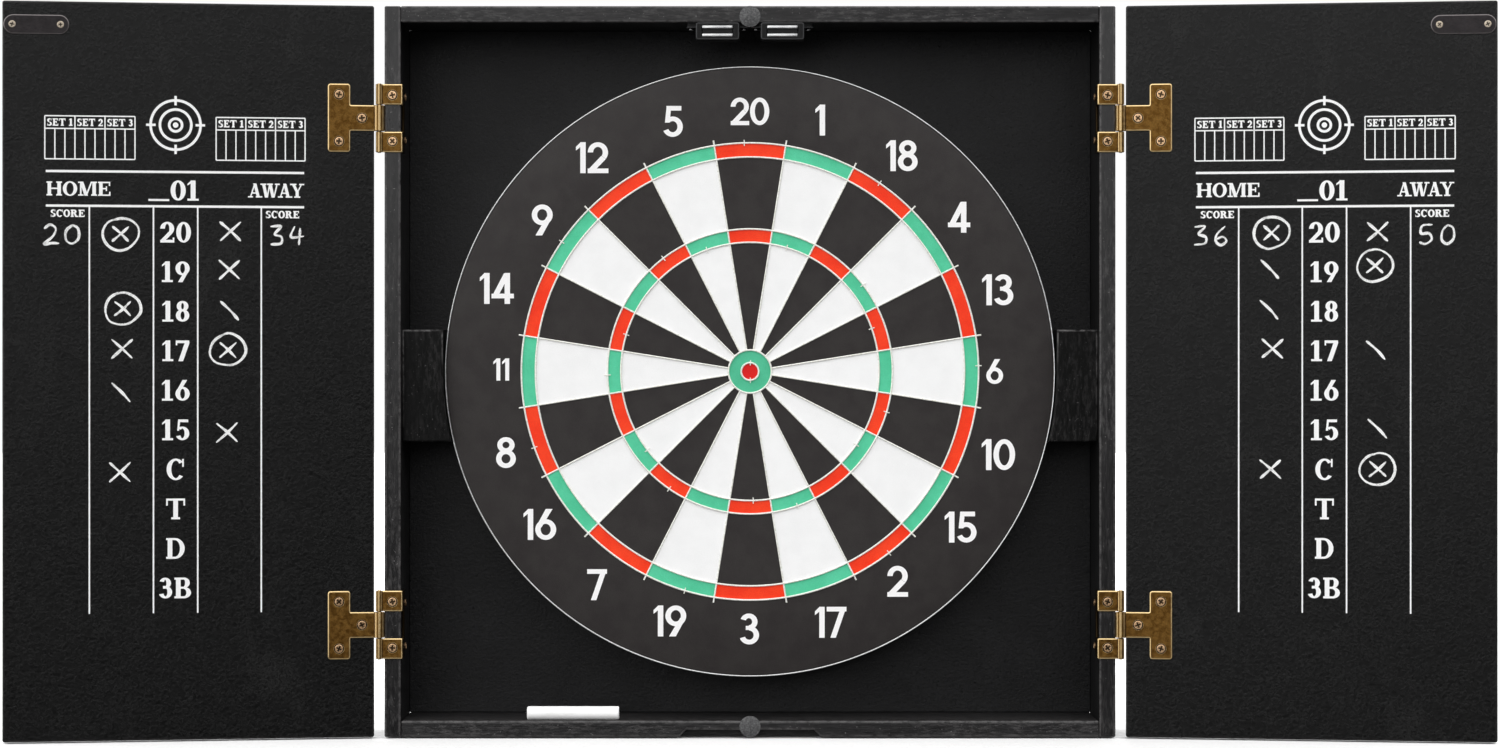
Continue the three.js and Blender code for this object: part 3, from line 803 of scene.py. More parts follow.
def knuckle(low, high, outer=hinge["knuckle"]):
    # rolled sheet round the pin: a ring section with rubbed rims, its bright rim tone kept in eight
    # stripes as a painted highlight down the knuckle
    inner = hinge["bore"]
    ease = 0.3
    profile = [(inner, low), (outer - ease, low), (outer, low + ease), (outer, high - ease),
               (outer - ease, high), (inner, high)]
    worn = [0, 1, 1, 1, 1, 0]
    barrel = turnedRound(profile, 40, True, worn)
    x, z = barrel.points[:, 0], barrel.points[:, 2]
    # painted highlight: the bright rim tone is kept in eight stripes down the knuckle
    paintedStripes = (np.cos(np.arctan2(z, x) * 8) > 0.3) * (np.hypot(x, z) > inner + 0.1)
    barrel.edge = barrel.edge * (0.1 + 0.5 * paintedStripes)
    return barrel.laid("xzy")


def holeAt(x, z):
    return circle(screwSizes["hinge"]["head"] + hinge["screwRoom"], (x, z), 24)


def frameLeafShape():
    # two straps on the box's front edge, bent back as one flange on the inner wall
    half, notch, bend = hinge["half"], hinge["notch"], hinge["bend"]
    shapes = []
    for sign, (screwX, screwZ) in zip((1, -1), frameScrews):
        strap = cornered(rectangle((1.2, bend), sorted((sign * notch, sign * half))), 0.8)
        shapes.append(plate(strap, frameLeafY, hinge["ease"], hinge["rim"],
                            [holeAt(screwX, screwZ)]).laid("xzy"))
        shapes.append(knuckle(*sorted((sign * notch, sign * half))))
    back = frameLeafY[0] + hinge["thick"] + hinge["flangeDeep"]
    lip = frameLeafY[0] + 0.2
    cutBack = frameLeafY[1] + hinge["notchDeep"]
    wing = cornered([(lip, -half), (back, -half), (back, half), (lip, half), (lip, notch),
                     (cutBack, notch), (cutBack, -notch), (lip, -notch)], 0.8)
    ends = (bend - hinge["thick"], bend)
    shapes.append(plate(wing, ends, hinge["ease"], hinge["rim"]).laid("yzx"))
    return joined(shapes)


def doorLeafShape():
    # T-shaped plate with rounded corners, its stem rolled round the pin
    near, far, half, stem = hinge["barNear"], hinge["barFar"], hinge["half"], hinge["stem"]
    tee = [(0.9, -stem), (near, -stem), (near, -half), (far, -half),
           (far, half), (near, half), (near, stem), (0.9, stem)]
    radii = [0.8, 0.6, *[hinge["corner"]] * 4, 0.6, 0.8]
    holes = [holeAt(x, z) for x, z in doorScrews]
    leaf = plate(cornered(tee, radii), doorLeafY, hinge["ease"], hinge["rim"], holes).laid("xzy")
    return joined([leaf, knuckle(-stem, stem, hinge["teeKnuckle"])])


def pinShape():
    radius, half, ease = hinge["pin"], hinge["half"] + hinge["pinPast"], 0.5
    profile = [(0, -half), (radius - ease, -half), (radius, -half + ease), (radius, half - ease),
               (radius - ease, half), (0, half)]
    return turnedRound(profile, 20, False, [1, 1, 0.4, 0.4, 1, 1]).laid("xzy")


turns = np.random.default_rng(11)


def faced(shape, way):
    # a screw built along its third column, laid so that its head looks to +X, +Y, -Y or -Z
    laid = shape.laid({"x": "zyx", "y": "xzy", "z": "xyz"}[way[1]])
    return laid if way[0] == "+" else laid.changed(-laid.points)


def screwAt(kind, way, *place):  # each one is turned about its own axis by chance
    return faced(screw(kind, turns.uniform(0, 90)), way).moved(*place)


def atFrame(shape, side):  # from the pin's frame to where it stands in the box
    return shape.mirrored(side).moved(-side * axisX, axisY)


def atDoor(shape, side):  # from a closed door's frame to where the open door stands
    return shape.mirrored(side).turned(-side * doorAngle).moved(-side * axisX, axisY)


for name, side in sides.items():
    frameHeads, flangeHeads, doorHeads = [], [], []
    frameNodes, doorNodes = [], []
    for level, height in (("upper", hingeHeight), ("lower", -hingeHeight)):
        tag = f"{name}_{level}"
        leaves = {
            "strap": (atFrame(frameLeafShape().moved(z=height), side), "cabinet", "frame_leaf"),
            "rod": (pinShape().moved(-side * axisX, axisY, height), "cabinet", "pin"),
            "tee": (atDoor(doorLeafShape().moved(z=height), side), f"{name}_door", "door_leaf"),
        }
        for kind, (shape, body, node) in leaves.items():
            addPiece(f"hinge_{kind}_{tag}", shape, brass, body, "antique_brass", f"hinge_{node}_{tag}")
        for number, (x, z) in enumerate(frameScrews, 1):
            head = screwAt("hinge", "-y", x, frameLeafY[0], z + height)
            frameHeads.append(atFrame(head, side))
            frameNodes.append(f"frame_screw_{tag}_{number}")
        for z in flangeScrews:
            head = screwAt("flange", "+x", hinge["bend"], hinge["flangeScrewY"], z + height)
            flangeHeads.append(atFrame(head, side))
        for number, (x, z) in enumerate(doorScrews, 1):
            head = screwAt("hinge", "+y", x, doorLeafY[1], z + height)
            doorHeads.append(atDoor(head, side))
            doorNodes.append(f"door_screw_{tag}_{number}")
    for kind, heads, body, nodes in (("strap", frameHeads, "cabinet", frameNodes),
                                     ("flange", flangeHeads, "cabinet", []),
                                     ("tee", doorHeads, f"{name}_door", doorNodes)):
        addPiece(f"{kind}_screws_{name}", joined(heads), screwBrass, body, "screw_brass", *nodes)
print("hinges made")


# Doors and their strike plates, in a closed door's frame

door = {"near": 3.7, "far": 272.7, "back": -13.0, "face": -1.0, "ease": 0.9, "corner": 1.6,
        "strikeX": 248.3, "strikeZ": 252.8, "strikeLong": 47.0, "strikeTall": 14.0,
        "strikeThick": 1.0, "strikeLift": 0.15, "strikeScrew": 17.3, "screwRoom": 0.3}

for name, side in sides.items():
    body = f"{name}_door"
    outline = cornered(rectangle((door["near"], door["far"]), (-halfBox, halfBox)), door["corner"])
    slab = plate(outline, (door["back"], door["face"]), door["ease"], 0.7).laid("xzy")
    addPiece(f"door_board_{name}", atDoor(slab, side), boardPaint, body, "score_board",
             f"door_panel_{name}")
    halfLong, halfTall = door["strikeLong"] / 2, door["strikeTall"] / 2
    stadium = cornered(rectangle((-halfLong, halfLong), (-halfTall, halfTall)), halfTall - 0.02, 10)
    room = screwSizes["strike"]["shank"] + door["screwRoom"]
    holes = [circle(room, (sign * door["strikeScrew"], 0), 16) for sign in (-1, 1)]
    low = door["face"] + door["strikeLift"]
    high = low + door["strikeThick"]
    strike = plate(stadium, (low, high), 0.3, 0.5, holes).laid("xzy")
    strike = strike.moved(door["strikeX"], 0, door["strikeZ"])
    addPiece(f"strike_{name}", atDoor(strike, side), strikeSteel, body, "strike_steel",
             f"strike_plate_{name}")
    heads = []
    for sign in (-1, 1):
        x = door["strikeX"] + sign * door["strikeScrew"]
        heads.append(screwAt("strike", "+y", x, high, door["strikeZ"]))
    addPiece(f"strike_screws_{name}", atDoor(joined(heads), side), screwNickel, body, "strike_steel")
print("doors made")


# Magnetic catches

catch = {"half": 16.0, "corner": 1.6, "ease": 0.6, "mouthRoom": 0.35, "shellBack": -56.2,
         "overlap": 0.1, "earThick": 3.6, "earEase": 0.4, "earNear": 11, "earFar": 1,
         "earCorner": 2.0, "earScrewY": 6.0, "bladeCorner": 1.2, "bladeEase": 0.35}
for name in sides:
    low, high = corners(f"catch_housing_{name}")
    middle = (low[0] + high[0]) / 2
    poleLow, _ = corners(f"catch_pole_lower_{name}")
    _, poleHigh = corners(f"catch_pole_upper_{name}")
    half, room, back = catch["half"], catch["mouthRoom"], catch["shellBack"]
    mouth = cornered(rectangle((poleLow[0] - room, poleHigh[0] + room),
                               (poleLow[2] - room, poleHigh[2] + room)), 0.6)
    outline = cornered(rectangle((middle - half, middle + half), (low[2], high[2])), catch["corner"])
    shell = plate(outline, (low[1], back), catch["ease"], 0.5, [mouth]).laid("xzy")
    backWall = plate(outline, (back - catch["overlap"], high[1]), 0.3, 0.3).laid("xzy")
    earLow = high[2] - catch["earThick"]
    earSpan = (high[1] - catch["earNear"], high[1] - catch["earFar"])
    ear = plate(cornered(rectangle((low[0], high[0]), earSpan), catch["earCorner"]),
                (earLow, high[2] - 0.05), catch["earEase"], 0.6)
    addPiece(f"catch_case_{name}", joined([shell, backWall, ear]), catchPlastic, "cabinet",
             "black_plastic", f"catch_housing_{name}")
    earScrews = []
    for x in ((low[0] + middle - half) / 2, (high[0] + middle + half) / 2):
        earScrews.append(screwAt("ear", "-z", x, high[1] - catch["earScrewY"], earLow))
    addPiece(f"ear_screws_{name}", joined(earScrews), screwSteel, "cabinet", "bright_steel")
    for level in ("upper", "lower"):
        node = f"catch_pole_{level}_{name}"
        low, high = corners(node)
        blade = cornered(rectangle((low[0], high[0]), (low[1], high[1])), catch["bladeCorner"])
        pole = plate(blade, (low[2], high[2]), catch["bladeEase"], 0.3)
        addPiece(f"catch_blade_{level}_{name}", pole, poleSteel, "cabinet", "bright_steel", node)
    keepNode(f"catch_magnet_{name}", magnetBlack)
print("catches made")


# Bumpers: thin domes with the crease of their moulding

bumper = {"radius": 7.8, "edge": 0.3, "rise": 1.0, "crease": 0.7, "creaseWide": 0.35,
          "creaseDeep": 0.21}
for name in ("top", "bottom"):
    low, high = corners(f"bumper_{name}")
    # the dome stands edge + rise (1 - r r) high at r of its radius, and the crease sinks into it
    # by exp(-(distance / width) squared). The same fall-off darkens the crease as painted shade
    share, radius = np.linspace(1, 0, 14), bumper["radius"]
    front = -(bumper["edge"] + bumper["rise"] * (1 - share ** 2))
    dome = turnedRound([(0, 0), (radius, 0), *zip(radius * share, front)], 64)
    near = np.abs(dome.points[:, 0] - bumper["crease"])
    creaseAndShade = np.exp(-(near / bumper["creaseWide"]) ** 2) * (dome.points[:, 1] < -0.2)
    dome.points[:, 1] += creaseAndShade * bumper["creaseDeep"]
    dome.edge = creaseAndShade
    dome = dome.moved(0, high[1], (low[2] + high[2]) / 2)
    addPiece(f"bumper_dome_{name}", dome, bumperPad, "cabinet", "bumper_rubber", f"bumper_{name}")


# Dartboard: sisal, backing, band, wires, numbers and its hanging screw

wires = {"ring": 0.68, "spoke": 0.62, "ringY": boardFace - 0.5, "spokeY": boardFace - 0.36,
         "past": 174.0, "staple": 0.42, "stapleLong": 4.6, "stapleTurn": 0.42, "stapleDrop": 0.2,
         "bullStaples": (0.05, 3.1), "bullHalf": 2}
disc = {"faceEase": 0.6, "faceRings": (170, 90), "backEase": 0.8, "bandThick": 1.0, "bandRoll": 0.45}
sisalRadius = boardHigh[0]
ease = disc["faceEase"]
core = [(0, boardHigh[1]), (sisalRadius, boardHigh[1]), (sisalRadius, boardFace + ease),
        *quarter((sisalRadius - ease, boardFace + ease), ease, 0, -90, 3),
        *[(radius, boardFace) for radius in (*disc["faceRings"], 0)]]
addPiece("sisal_face", turnedRound(core, 240), sisal, "board", "sisal", "board_sisal")
low, high = corners("board_backing")
ease = disc["backEase"]
rear = [(0, high[1]), *quarter((high[0] - ease, high[1] - ease), ease, 90, 0, 3),
        (high[0], low[1]), (0, low[1])]
backing = turnedRound(rear, 180)
addPiece("backing_disc", backing, boardBacking, "board", "backing_board", "board_backing")

low, high = corners("board_band")
thin, roll = disc["bandThick"], disc["bandRoll"]
hoop = [*quarter((boardRadius - thin / 2, low[1] + roll), thin / 2, 180, 360, 6),
        (boardRadius, high[1]), (boardRadius - thin, high[1])]
addPiece("rim_band", turnedRound(hoop, 288, True), bandSteel, "board", "band_steel", "board_band")


def ringPath(radius, y, steps=200):
    angle = np.arange(steps) * 2 * math.pi / steps
    return np.stack([radius * np.sin(angle), np.full(steps, y), radius * np.cos(angle)], axis=1)


def spokePath(turn, inner, outer, y):
    along = np.array([inner, (inner + outer) / 2, outer])
    return np.stack([along * math.sin(turn), np.full(3, y), along * math.cos(turn)], axis=1)


def staple(turn, radius, half):
    path = spokePath(turn, radius - half, radius + half, wires["ringY"] - wires["stapleDrop"])
    return wireAlong(path, wires["staple"], 6)


strands = []
for radius in (scoring["innerBull"], scoring["outerBull"], *scoring["triple"], *scoring["double"]):
    strands.append(wireAlong(ringPath(radius, wires["ringY"]), wires["ring"], 8, True))
sectorTurn = 2 * math.pi / scoring["sectors"]
for sector in range(scoring["sectors"]):
    turn = (sector + 0.5) * sectorTurn
    path = spokePath(turn, scoring["outerBull"], wires["past"], wires["spokeY"])
    strands.append(wireAlong(path, wires["spoke"], 8))
    # a staple straddles three of the rings, each in every third sector
    for ring, radius in enumerate((*scoring["triple"], scoring["double"][1])):
        if (sector + ring) % 3 == 0:
            aside = turn + sectorTurn * wires["stapleTurn"]
            strands.append(staple(aside, radius, wires["stapleLong"] / 2))
for turn in wires["bullStaples"]:
    strands.append(staple(turn, scoring["innerBull"], wires["bullHalf"]))
addPiece("wire_spider", joined(strands), wirePlate, "board", "wire", "board_spider")
keepNode("board_screw", poleSteel)
keepNode("board_bracket", poleSteel)
print("dartboard made")


# Lettering: every glyph is a set of strokes, each a pair of lines, in units of its own height

def flat(x0, x1, z0, z1):
    return [(x0, z0), (x0, z1)], [(x1, z0), (x1, z1)]


def slant(x0, z0, x1, z1, wide):  # cut level at both ends
    return [(x0, z0), (x1, z1)], [(x0 + wide, z0), (x1 + wide, z1)]


def bow(x, z, radiusX, radiusZ, wideX, wideZ, start, end, steps=22):
    # part of an ellipse and of a smaller one inside it
    angle = np.radians(np.linspace(start, end, steps))
    spin, middle = np.stack([np.cos(angle), np.sin(angle)], axis=1), np.array([x, z])
    outer = middle + np.array([radiusX, radiusZ]) * spin
    return outer, middle + np.array([radiusX - wideX, radiusZ - wideZ]) * spin


def digitGlyphs(thick, thin, foot):
    # width and strokes of each digit; foot is how far a serif reaches, or 0 for plain digits
    bar = max(thin, 0.13)
    glyphs = {
        "0": (0.70, [bow(0.35, 0.5, 0.35, 0.5, thick, thin, 0, 360, 36)]),
        "1": (0.36, [flat(0.16, 0.16 + thick, 0, 1),
                     ([(0.02, 0.85), (0.17, 1)], [(0.02, 0.73), (0.17, 0.85)])]),
        "2": (0.66, [bow(0.33, 0.67, 0.33, 0.33, thick, thin, 180, -38), flat(0, 0.67, 0, bar),
                     ([(0.59, 0.46), (0.24, 0.1)], [(0.44, 0.56), (0.0, 0.1)])]),
        "3": (0.63, [bow(0.30, 0.735, 0.28, 0.265, thick, thin, 160, -90),
                     bow(0.31, 0.30, 0.32, 0.30, thick, thin, 90, -160), flat(0.2, 0.34, 0.47, 0.6)]),
        "4": (0.72, [flat(0.42, 0.42 + thick, 0, 1), flat(0, 0.72, 0.18, 0.18 + max(thin, 0.1)),
                     slant(0.0, 0.22, 0.40, 0.99, max(thin, 0.12) * 1.3)]),
        "5": (0.66, [flat(0.12, 0.60, 1 - bar, 1), slant(0.07, 0.46, 0.12, 0.95, max(thin, 0.1)),
                     bow(0.32, 0.33, 0.33, 0.33, thick, thin, 132, -155)]),
        "6": (0.68, [bow(0.34, 0.335, 0.338, 0.335, thick, thin, 0, 360, 36),
                     ([(0.015, 0.40), (0.34, 1)], [(0.20, 0.40), (0.56, 1)])]),
        "7": (0.64, [flat(0, 0.64, 1 - bar, 1), slant(0.12, 0, 0.43, 0.9, thick)]),
        "8": (0.64, [bow(0.32, 0.745, 0.28, 0.255, thick * 0.95, thin, 0, 360, 32),
                     bow(0.32, 0.30, 0.32, 0.30, thick, thin, 0, 360, 32)]),
    }
    width, strokes = glyphs["6"]
    glyphs["9"] = (width, [tuple(np.array([width, 1]) - np.array(line, float) for line in stroke)
                           for stroke in strokes])
    if foot:
        glyphs["1"] = (0.56, [flat(0.17, 0.17 + thick, 0, 1), flat(0.02, 0.54, 0, thin),
                              ([(0.02, 0.83), (0.2, 1)], [(0.02, 0.75), (0.2, 0.86)])])
        glyphs["4"][1].append(flat(0.30, 0.30 + thick + 0.24, 0, thin))
        glyphs["2"][1].append(flat(0.59, 0.67, 0, 0.24))
        glyphs["7"][1].append(flat(0, 0.07, 0.76, 1))
    return glyphs


def serifGlyphs(thick, thin):
    # bold letters with thick stems, thin bars and flat serifs
    foot, high = 0.07, 1 - thin

    def serif(x0, x1, z=0.0):
        return flat(x0, x1, z, z + thin)

    def stem(x):
        return [flat(x, x + thick, 0, 1), serif(x - foot, x + thick + foot),
                serif(x - foot, x + thick + foot, high)]

    def bowl(x, z, radiusX, radiusZ, start, end, steps=24):
        return bow(x, z, radiusX, radiusZ, thick, thin, start, end, steps)

    right = 0.08 + thick  # right side of a letter's first stem
    glyphs = digitGlyphs(thick, thin, foot)
    glyphs.update({
        " ": (0.3, []),
        "_": (0.92, [serif(-0.04, 0.92, -0.03)]),
        "H": (1.0, stem(0.08) + stem(0.92 - thick) + [serif(right - 0.02, 0.96 - thick, 0.46)]),
        "O": (0.9, [bowl(0.45, 0.5, 0.45, 0.52, 0, 360, 40)]),
        "M": (1.22, [flat(0.14, 0.14 + thin, 0, 1), serif(0.02, 0.36), serif(0.02, 0.3, high),
                     slant(0.42, 0, 0.12, 1, thick), slant(0.48, 0, 0.82, 1, thin)]
              + stem(1.14 - thick)),
        "E": (0.84, stem(0.08) + [serif(right, 0.78, high), flat(0.69, 0.78, 0.7, 1), serif(right, 0.8),
                                  flat(0.71, 0.8, 0, 0.3), serif(right, 0.58, 0.46),
                                  flat(0.5, 0.58, 0.34, 0.68)]),
        "A": (1.0, [slant(0.1, 0, 0.42, 1, thin), slant(0.62, 0, 0.36, 1, thick),
                    serif(0.22, 0.68, 0.27), serif(-0.02, 0.34), serif(0.54, 1.02)]),
        "W": (1.36, [slant(0.3, 0, 0.08, 1, thick), slant(0.42, 0, 0.6, 1, thin),
                     slant(0.78, 0, 0.56, 1, thick), slant(0.9, 0, 1.14, 1, thin),
                     serif(-0.02, 0.4, high), serif(0.46, 0.88, high), serif(1.02, 1.38, high)]),
        "Y": (0.96, [slant(0.36, 0.42, 0.06, 1, thick), slant(0.46, 0.42, 0.76, 1, thin),
                     flat(0.36, 0.36 + thick, 0, 0.48), serif(0.26, 0.7), serif(-0.04, 0.42, high),
                     serif(0.62, 0.98, high)]),
        "S": (0.7, [bowl(0.33, 0.74, 0.31, 0.265, 40, 262), bowl(0.36, 0.27, 0.33, 0.275, 96, -142),
                    flat(0.55, 0.62, 0.7, 1), flat(0.04, 0.11, 0, 0.3)]),
        "C": (0.86, [bowl(0.44, 0.5, 0.44, 0.52, 42, 320, 36), flat(0.74, 0.82, 0.62, 1)]),
        "R": (0.98, stem(0.08) + [bowl(0.46, 0.735, 0.32, 0.265, 90, -90), serif(right, 0.48, high),
                                  serif(right, 0.48, 0.47), slant(0.62, 0, 0.4, 0.5, thick),
                                  serif(0.62, 0.98)]),
        "T": (0.9, [flat(0.45 - thick / 2, 0.45 + thick / 2, 0, 1), serif(0.24, 0.66),
                    serif(0, 0.9, high), flat(0, 0.08, 0.66, 1), flat(0.82, 0.9, 0.66, 1)]),
        "D": (0.92, stem(0.08) + [bowl(0.42, 0.5, 0.47, 0.5, 90, -90, 30), serif(right, 0.43, high),
                                  serif(right, 0.43)]),
        "B": (0.86, stem(0.08) + [bowl(0.46, 0.745, 0.28, 0.255, 90, -90),
                                  bowl(0.46, 0.27, 0.34, 0.27, 90, -90), serif(right, 0.48, high),
                                  serif(right, 0.48), serif(right, 0.48, 0.46)]),
    })
    return glyphs


plainGlyphs = digitGlyphs(0.175, 0.15, 0)
slabGlyphs = serifGlyphs(0.225, 0.1)
smallGlyphs = serifGlyphs(0.27, 0.16)


def lettering(text, glyphs, middle, height, thick, gap=0.1, wide=None):
    # glyphs side by side about a middle point; wide squeezes the whole line to that width. Each
    # stroke of a glyph stands a little higher than the one before it, so none lie in one plane
    widths = [glyphs[letter][0] for letter in text]
    total = sum(widths) + gap * (len(text) - 1)
    stretch = 1.0 if wide is None else wide / (total * height)
    x, shapes = -total / 2, []
    for letter, width in zip(text, widths):
        for number, (left, right) in enumerate(glyphs[letter][1]):
            lines = [np.array(line, float) + np.array([x, -0.5]) for line in (left, right)]
            lines = [line * np.array([height * stretch, height]) + np.array(middle) for line in lines]
            closed = len(lines[0]) > 30 and np.allclose(lines[0][0], lines[0][-1])
            if closed:
                lines = [line[:-1] for line in lines]
            shapes.append(strip(*lines, thick + 0.006 * number, closed))
        x += width + gap
    return shapes


# The numbers stand upright round a circle, each nudged in X and Z
numbers = {"order": [20, 1, 18, 4, 13, 6, 10, 15, 2, 17, 3, 19, 7, 16, 8, 11, 14, 9, 12, 5],
           "radius": 193.5, "height": 23.0, "small": {20: 20.5, 6: 18.5, 11: 16.5}, "thick": 0.15,
           "gap": 0.04,
          "nudge": {1: (-7.5, 3), 18: (-1, 4), 4: (-1, 1), 13: (0, 1), 6: (-11.5, 0),
                    10: (0.5, -2), 15: (0, -2), 2: (-4, 0.5), 17: (0, -2.5), 3: (-0.5, 2),
                    19: (0, -1.5), 7: (0, -2), 8: (2.5, -0.5), 11: (8.5, 1.5), 14: (-4.5, 2),
                    9: (2, -1), 12: (-4, 2.5), 5: (2.5, 2)}}
digits = []
for place, number in enumerate(numbers["order"]):
    turn = place * sectorTurn
    nudgeX, nudgeZ = numbers["nudge"].get(number, (0, 0))
    middle = (numbers["radius"] * math.sin(turn) + nudgeX,
              numbers["radius"] * math.cos(turn) + nudgeZ)
    height = numbers["small"].get(number, numbers["height"])
    digits += lettering(str(number), plainGlyphs, middle, height, numbers["thick"], numbers["gap"])
printed = joined(digits).laid("xzy")
printed = printed.changed(printed.points * np.array([1, -1, 1])).moved(y=boardFace)
addPiece("board_numbers", printed, numberInk, "board", "sisal")
print("numbers made")


# Scoreboards: rules, headings and the column of targets, about each door's middle line

score = {"middle": 148.3, "half": 93.3, "ruleWide": 1.7, "topRule": 146.1, "lowRule": 120.9,
         "lineWide": 1.1, "lineFoot": -176.9, "inner": 16.0, "outer": 62.1, "thick": 0.1,
         "rows": ["20", "19", "18", "17", "16", "15", "C", "T", "D", "3B"], "rowTop": 102.0,
         "pitch": 28.95, "rowHeight": 15.2, "column": 38.8}
setBox = {"near": 29.3, "far": 94.0, "top": 186.4, "foot": 155.0, "header": 177.2, "columns": 9,
          "wide": 0.9, "sets": 3, "textTall": 5.4, "textGap": 0.08, "textWide": 18.4}
# each heading's text, letters, middle, height, gap between letters and whole width
headings = [("HOME", slabGlyphs, (-69.7, 133.4), 10.3, 0.04, 46.5),
            ("AWAY", slabGlyphs, (72.9, 133.0), 10.3, -0.1, 40.5),
            ("_01", slabGlyphs, (-1.0, 132.6), 14.8, 0.06, 36.0),
            ("SCORE", smallGlyphs, (-77.6, 115.4), 5.4, 0.06, 24.6),
            ("SCORE", smallGlyphs, (77.6, 115.4), 5.4, 0.06, 24.6)]


def scorePrint():
    # in a frame that reads left to right as the open door is seen, raised along the third axis.
    # Rules that cross stand at different heights
    thick, half = score["thick"], score["half"]
    line = score["ruleWide"] / 2
    bars = [(-half, half, score[rule] - line, score[rule] + line) for rule in ("topRule", "lowRule")]
    line = score["lineWide"] / 2
    for x in (-score["outer"], -score["inner"], score["inner"], score["outer"]):
        bars.append((x - line, x + line, score["lineFoot"], score["lowRule"]))
    line, top, header, foot = setBox["wide"] / 2, setBox["top"], setBox["header"], setBox["foot"]
    words = []
    for near, far in ((-setBox["far"], -setBox["near"]), (setBox["near"], setBox["far"])):
        for z in (top, foot, header):
            bars.append((near, far, z - line, z + line))
        for number in range(setBox["columns"] + 1):
            x = near + (far - near) * number / setBox["columns"]
            bars.append((x - line, x + line, foot, top if number % 3 == 0 else header))
        for number in range(setBox["sets"]):
            x = near + (far - near) * (number + 0.5) / setBox["sets"]
            words += lettering(f"SET {number + 1}", smallGlyphs, (x, (top + header) / 2),
                               setBox["textTall"], thick, setBox["textGap"], setBox["textWide"])
    for text, glyphs, middle, height, gap, wide in headings:
        words += lettering(text, glyphs, middle, height, thick, gap, wide)
    for number, text in enumerate(score["rows"]):
        z = score["rowTop"] - score["pitch"] * number
        words += lettering(text, slabGlyphs, (0, z), score["rowHeight"], thick)
    rules = [strip(*flat(*bar), thick + 0.005 * (number % 7)) for number, bar in enumerate(bars)]
    return rules + words


emblem = {"z": 180.5, "rings": (19.0, 12.3, 5.6), "wide": 1.9, "dot": 2.0, "tick": 4.6,
          "tickHalf": 0.9, "tickThick": 0.115}


def targetEmblem():
    # a plain target: three rings, a dot and four ticks
    middle, wide, half = emblem["z"], emblem["wide"], emblem["tickHalf"]
    shapes = []
    for number, radius in enumerate(emblem["rings"]):
        outer, inner = bow(0, middle, radius, radius, wide, wide, 0, 360, 61)
        shapes.append(strip(outer[:-1], inner[:-1], score["thick"] + 0.004 * number, True))
    dot = plate(circle(emblem["dot"], (0, middle), 24), (0, score["thick"]), 0.03, 0.05)
    reach = emblem["rings"][0]
    for sign in (-1, 1):
        ends = (sign * (reach - emblem["tick"]), sign * (reach + 0.5 * emblem["tick"]))
        low, high = sorted(ends)
        for bar in ((low, high, middle - half, middle + half),
                    (-half, half, middle + low, middle + high)):
            shapes.append(strip(*flat(*bar), emblem["tickThick"]))
    return [*shapes, dot]


def onDoor(shapes, side):
    # reading direction on either open door is -X in its closed frame, and the face is towards +Y
    shape = joined(shapes).moved(x=-side * score["middle"]).mirrored(-side)
    return atDoor(shape.laid("xzy").moved(y=door["face"]), side)


for name, side in sides.items():
    sheet = onDoor(scorePrint() + targetEmblem(), side)
    addPiece(f"score_print_{name}", sheet, scoreInk, f"{name}_door", "score_board")
print("scoreboards printed")


# Chalk: tallies and scores written by hand

tally = {"wide": 1.75, "cross": (7.6, 7.0), "circle": (12.9, 11.7), "slash": (7.4, 7.0),
         "ringed": 0.78, "jitter": 1.1, "digit": (15.0, 14.0), "digitWide": 0.78, "thick": 0.14}
marks = {("left", -1): {0: "ox", 2: "ox", 3: "x", 4: "/", 6: "x"},
         ("left", 1): {0: "x", 1: "x", 2: "/", 3: "ox", 5: "x"},
         ("right", -1): {0: "ox", 1: "/", 2: "/", 3: "x", 6: "x"},
         ("right", 1): {0: "x", 1: "ox", 3: "/", 5: "/", 6: "ox"}}
# marks that stray from the middle of their row, in X and Z
strays = {("left", 1, 1): (-1.5, 3.4), ("left", 1, 5): (-1, -5.4), ("left", -1, 3): (0, 4),
          ("right", 1, 1): (-2.7, 4.7), ("right", -1, 0): (1, -2.7)}
scores = {"left": ("20", "34"), "right": ("36", "50"), "column": 81.5, "drop": 2}
hand = {
    "0": [[(0.5, 1), (0.12, 0.7), (0.1, 0.2), (0.45, 0), (0.85, 0.3), (0.82, 0.8), (0.46, 1.0)]],
    "2": [[(0.05, 0.8), (0.4, 1), (0.75, 0.8), (0.55, 0.4), (0.05, 0.02), (0.5, 0.06), (0.95, 0.02)]],
    "3": [[(0.05, 0.95), (0.7, 0.98), (0.3, 0.58), (0.75, 0.42), (0.7, 0.08), (0.05, 0.02)]],
    "4": [[(0.3, 1), (0.05, 0.42), (0.85, 0.46)], [(0.62, 0.9), (0.55, 0)]],
    "5": [[(0.85, 1), (0.2, 0.95), (0.12, 0.55), (0.6, 0.55), (0.78, 0.25), (0.4, 0.0), (0.02, 0.1)]],
    "6": [[(0.65, 1), (0.2, 0.6), (0.08, 0.2), (0.4, 0), (0.75, 0.2), (0.55, 0.45), (0.14, 0.3)]],
}
wrist = np.random.default_rng(5)


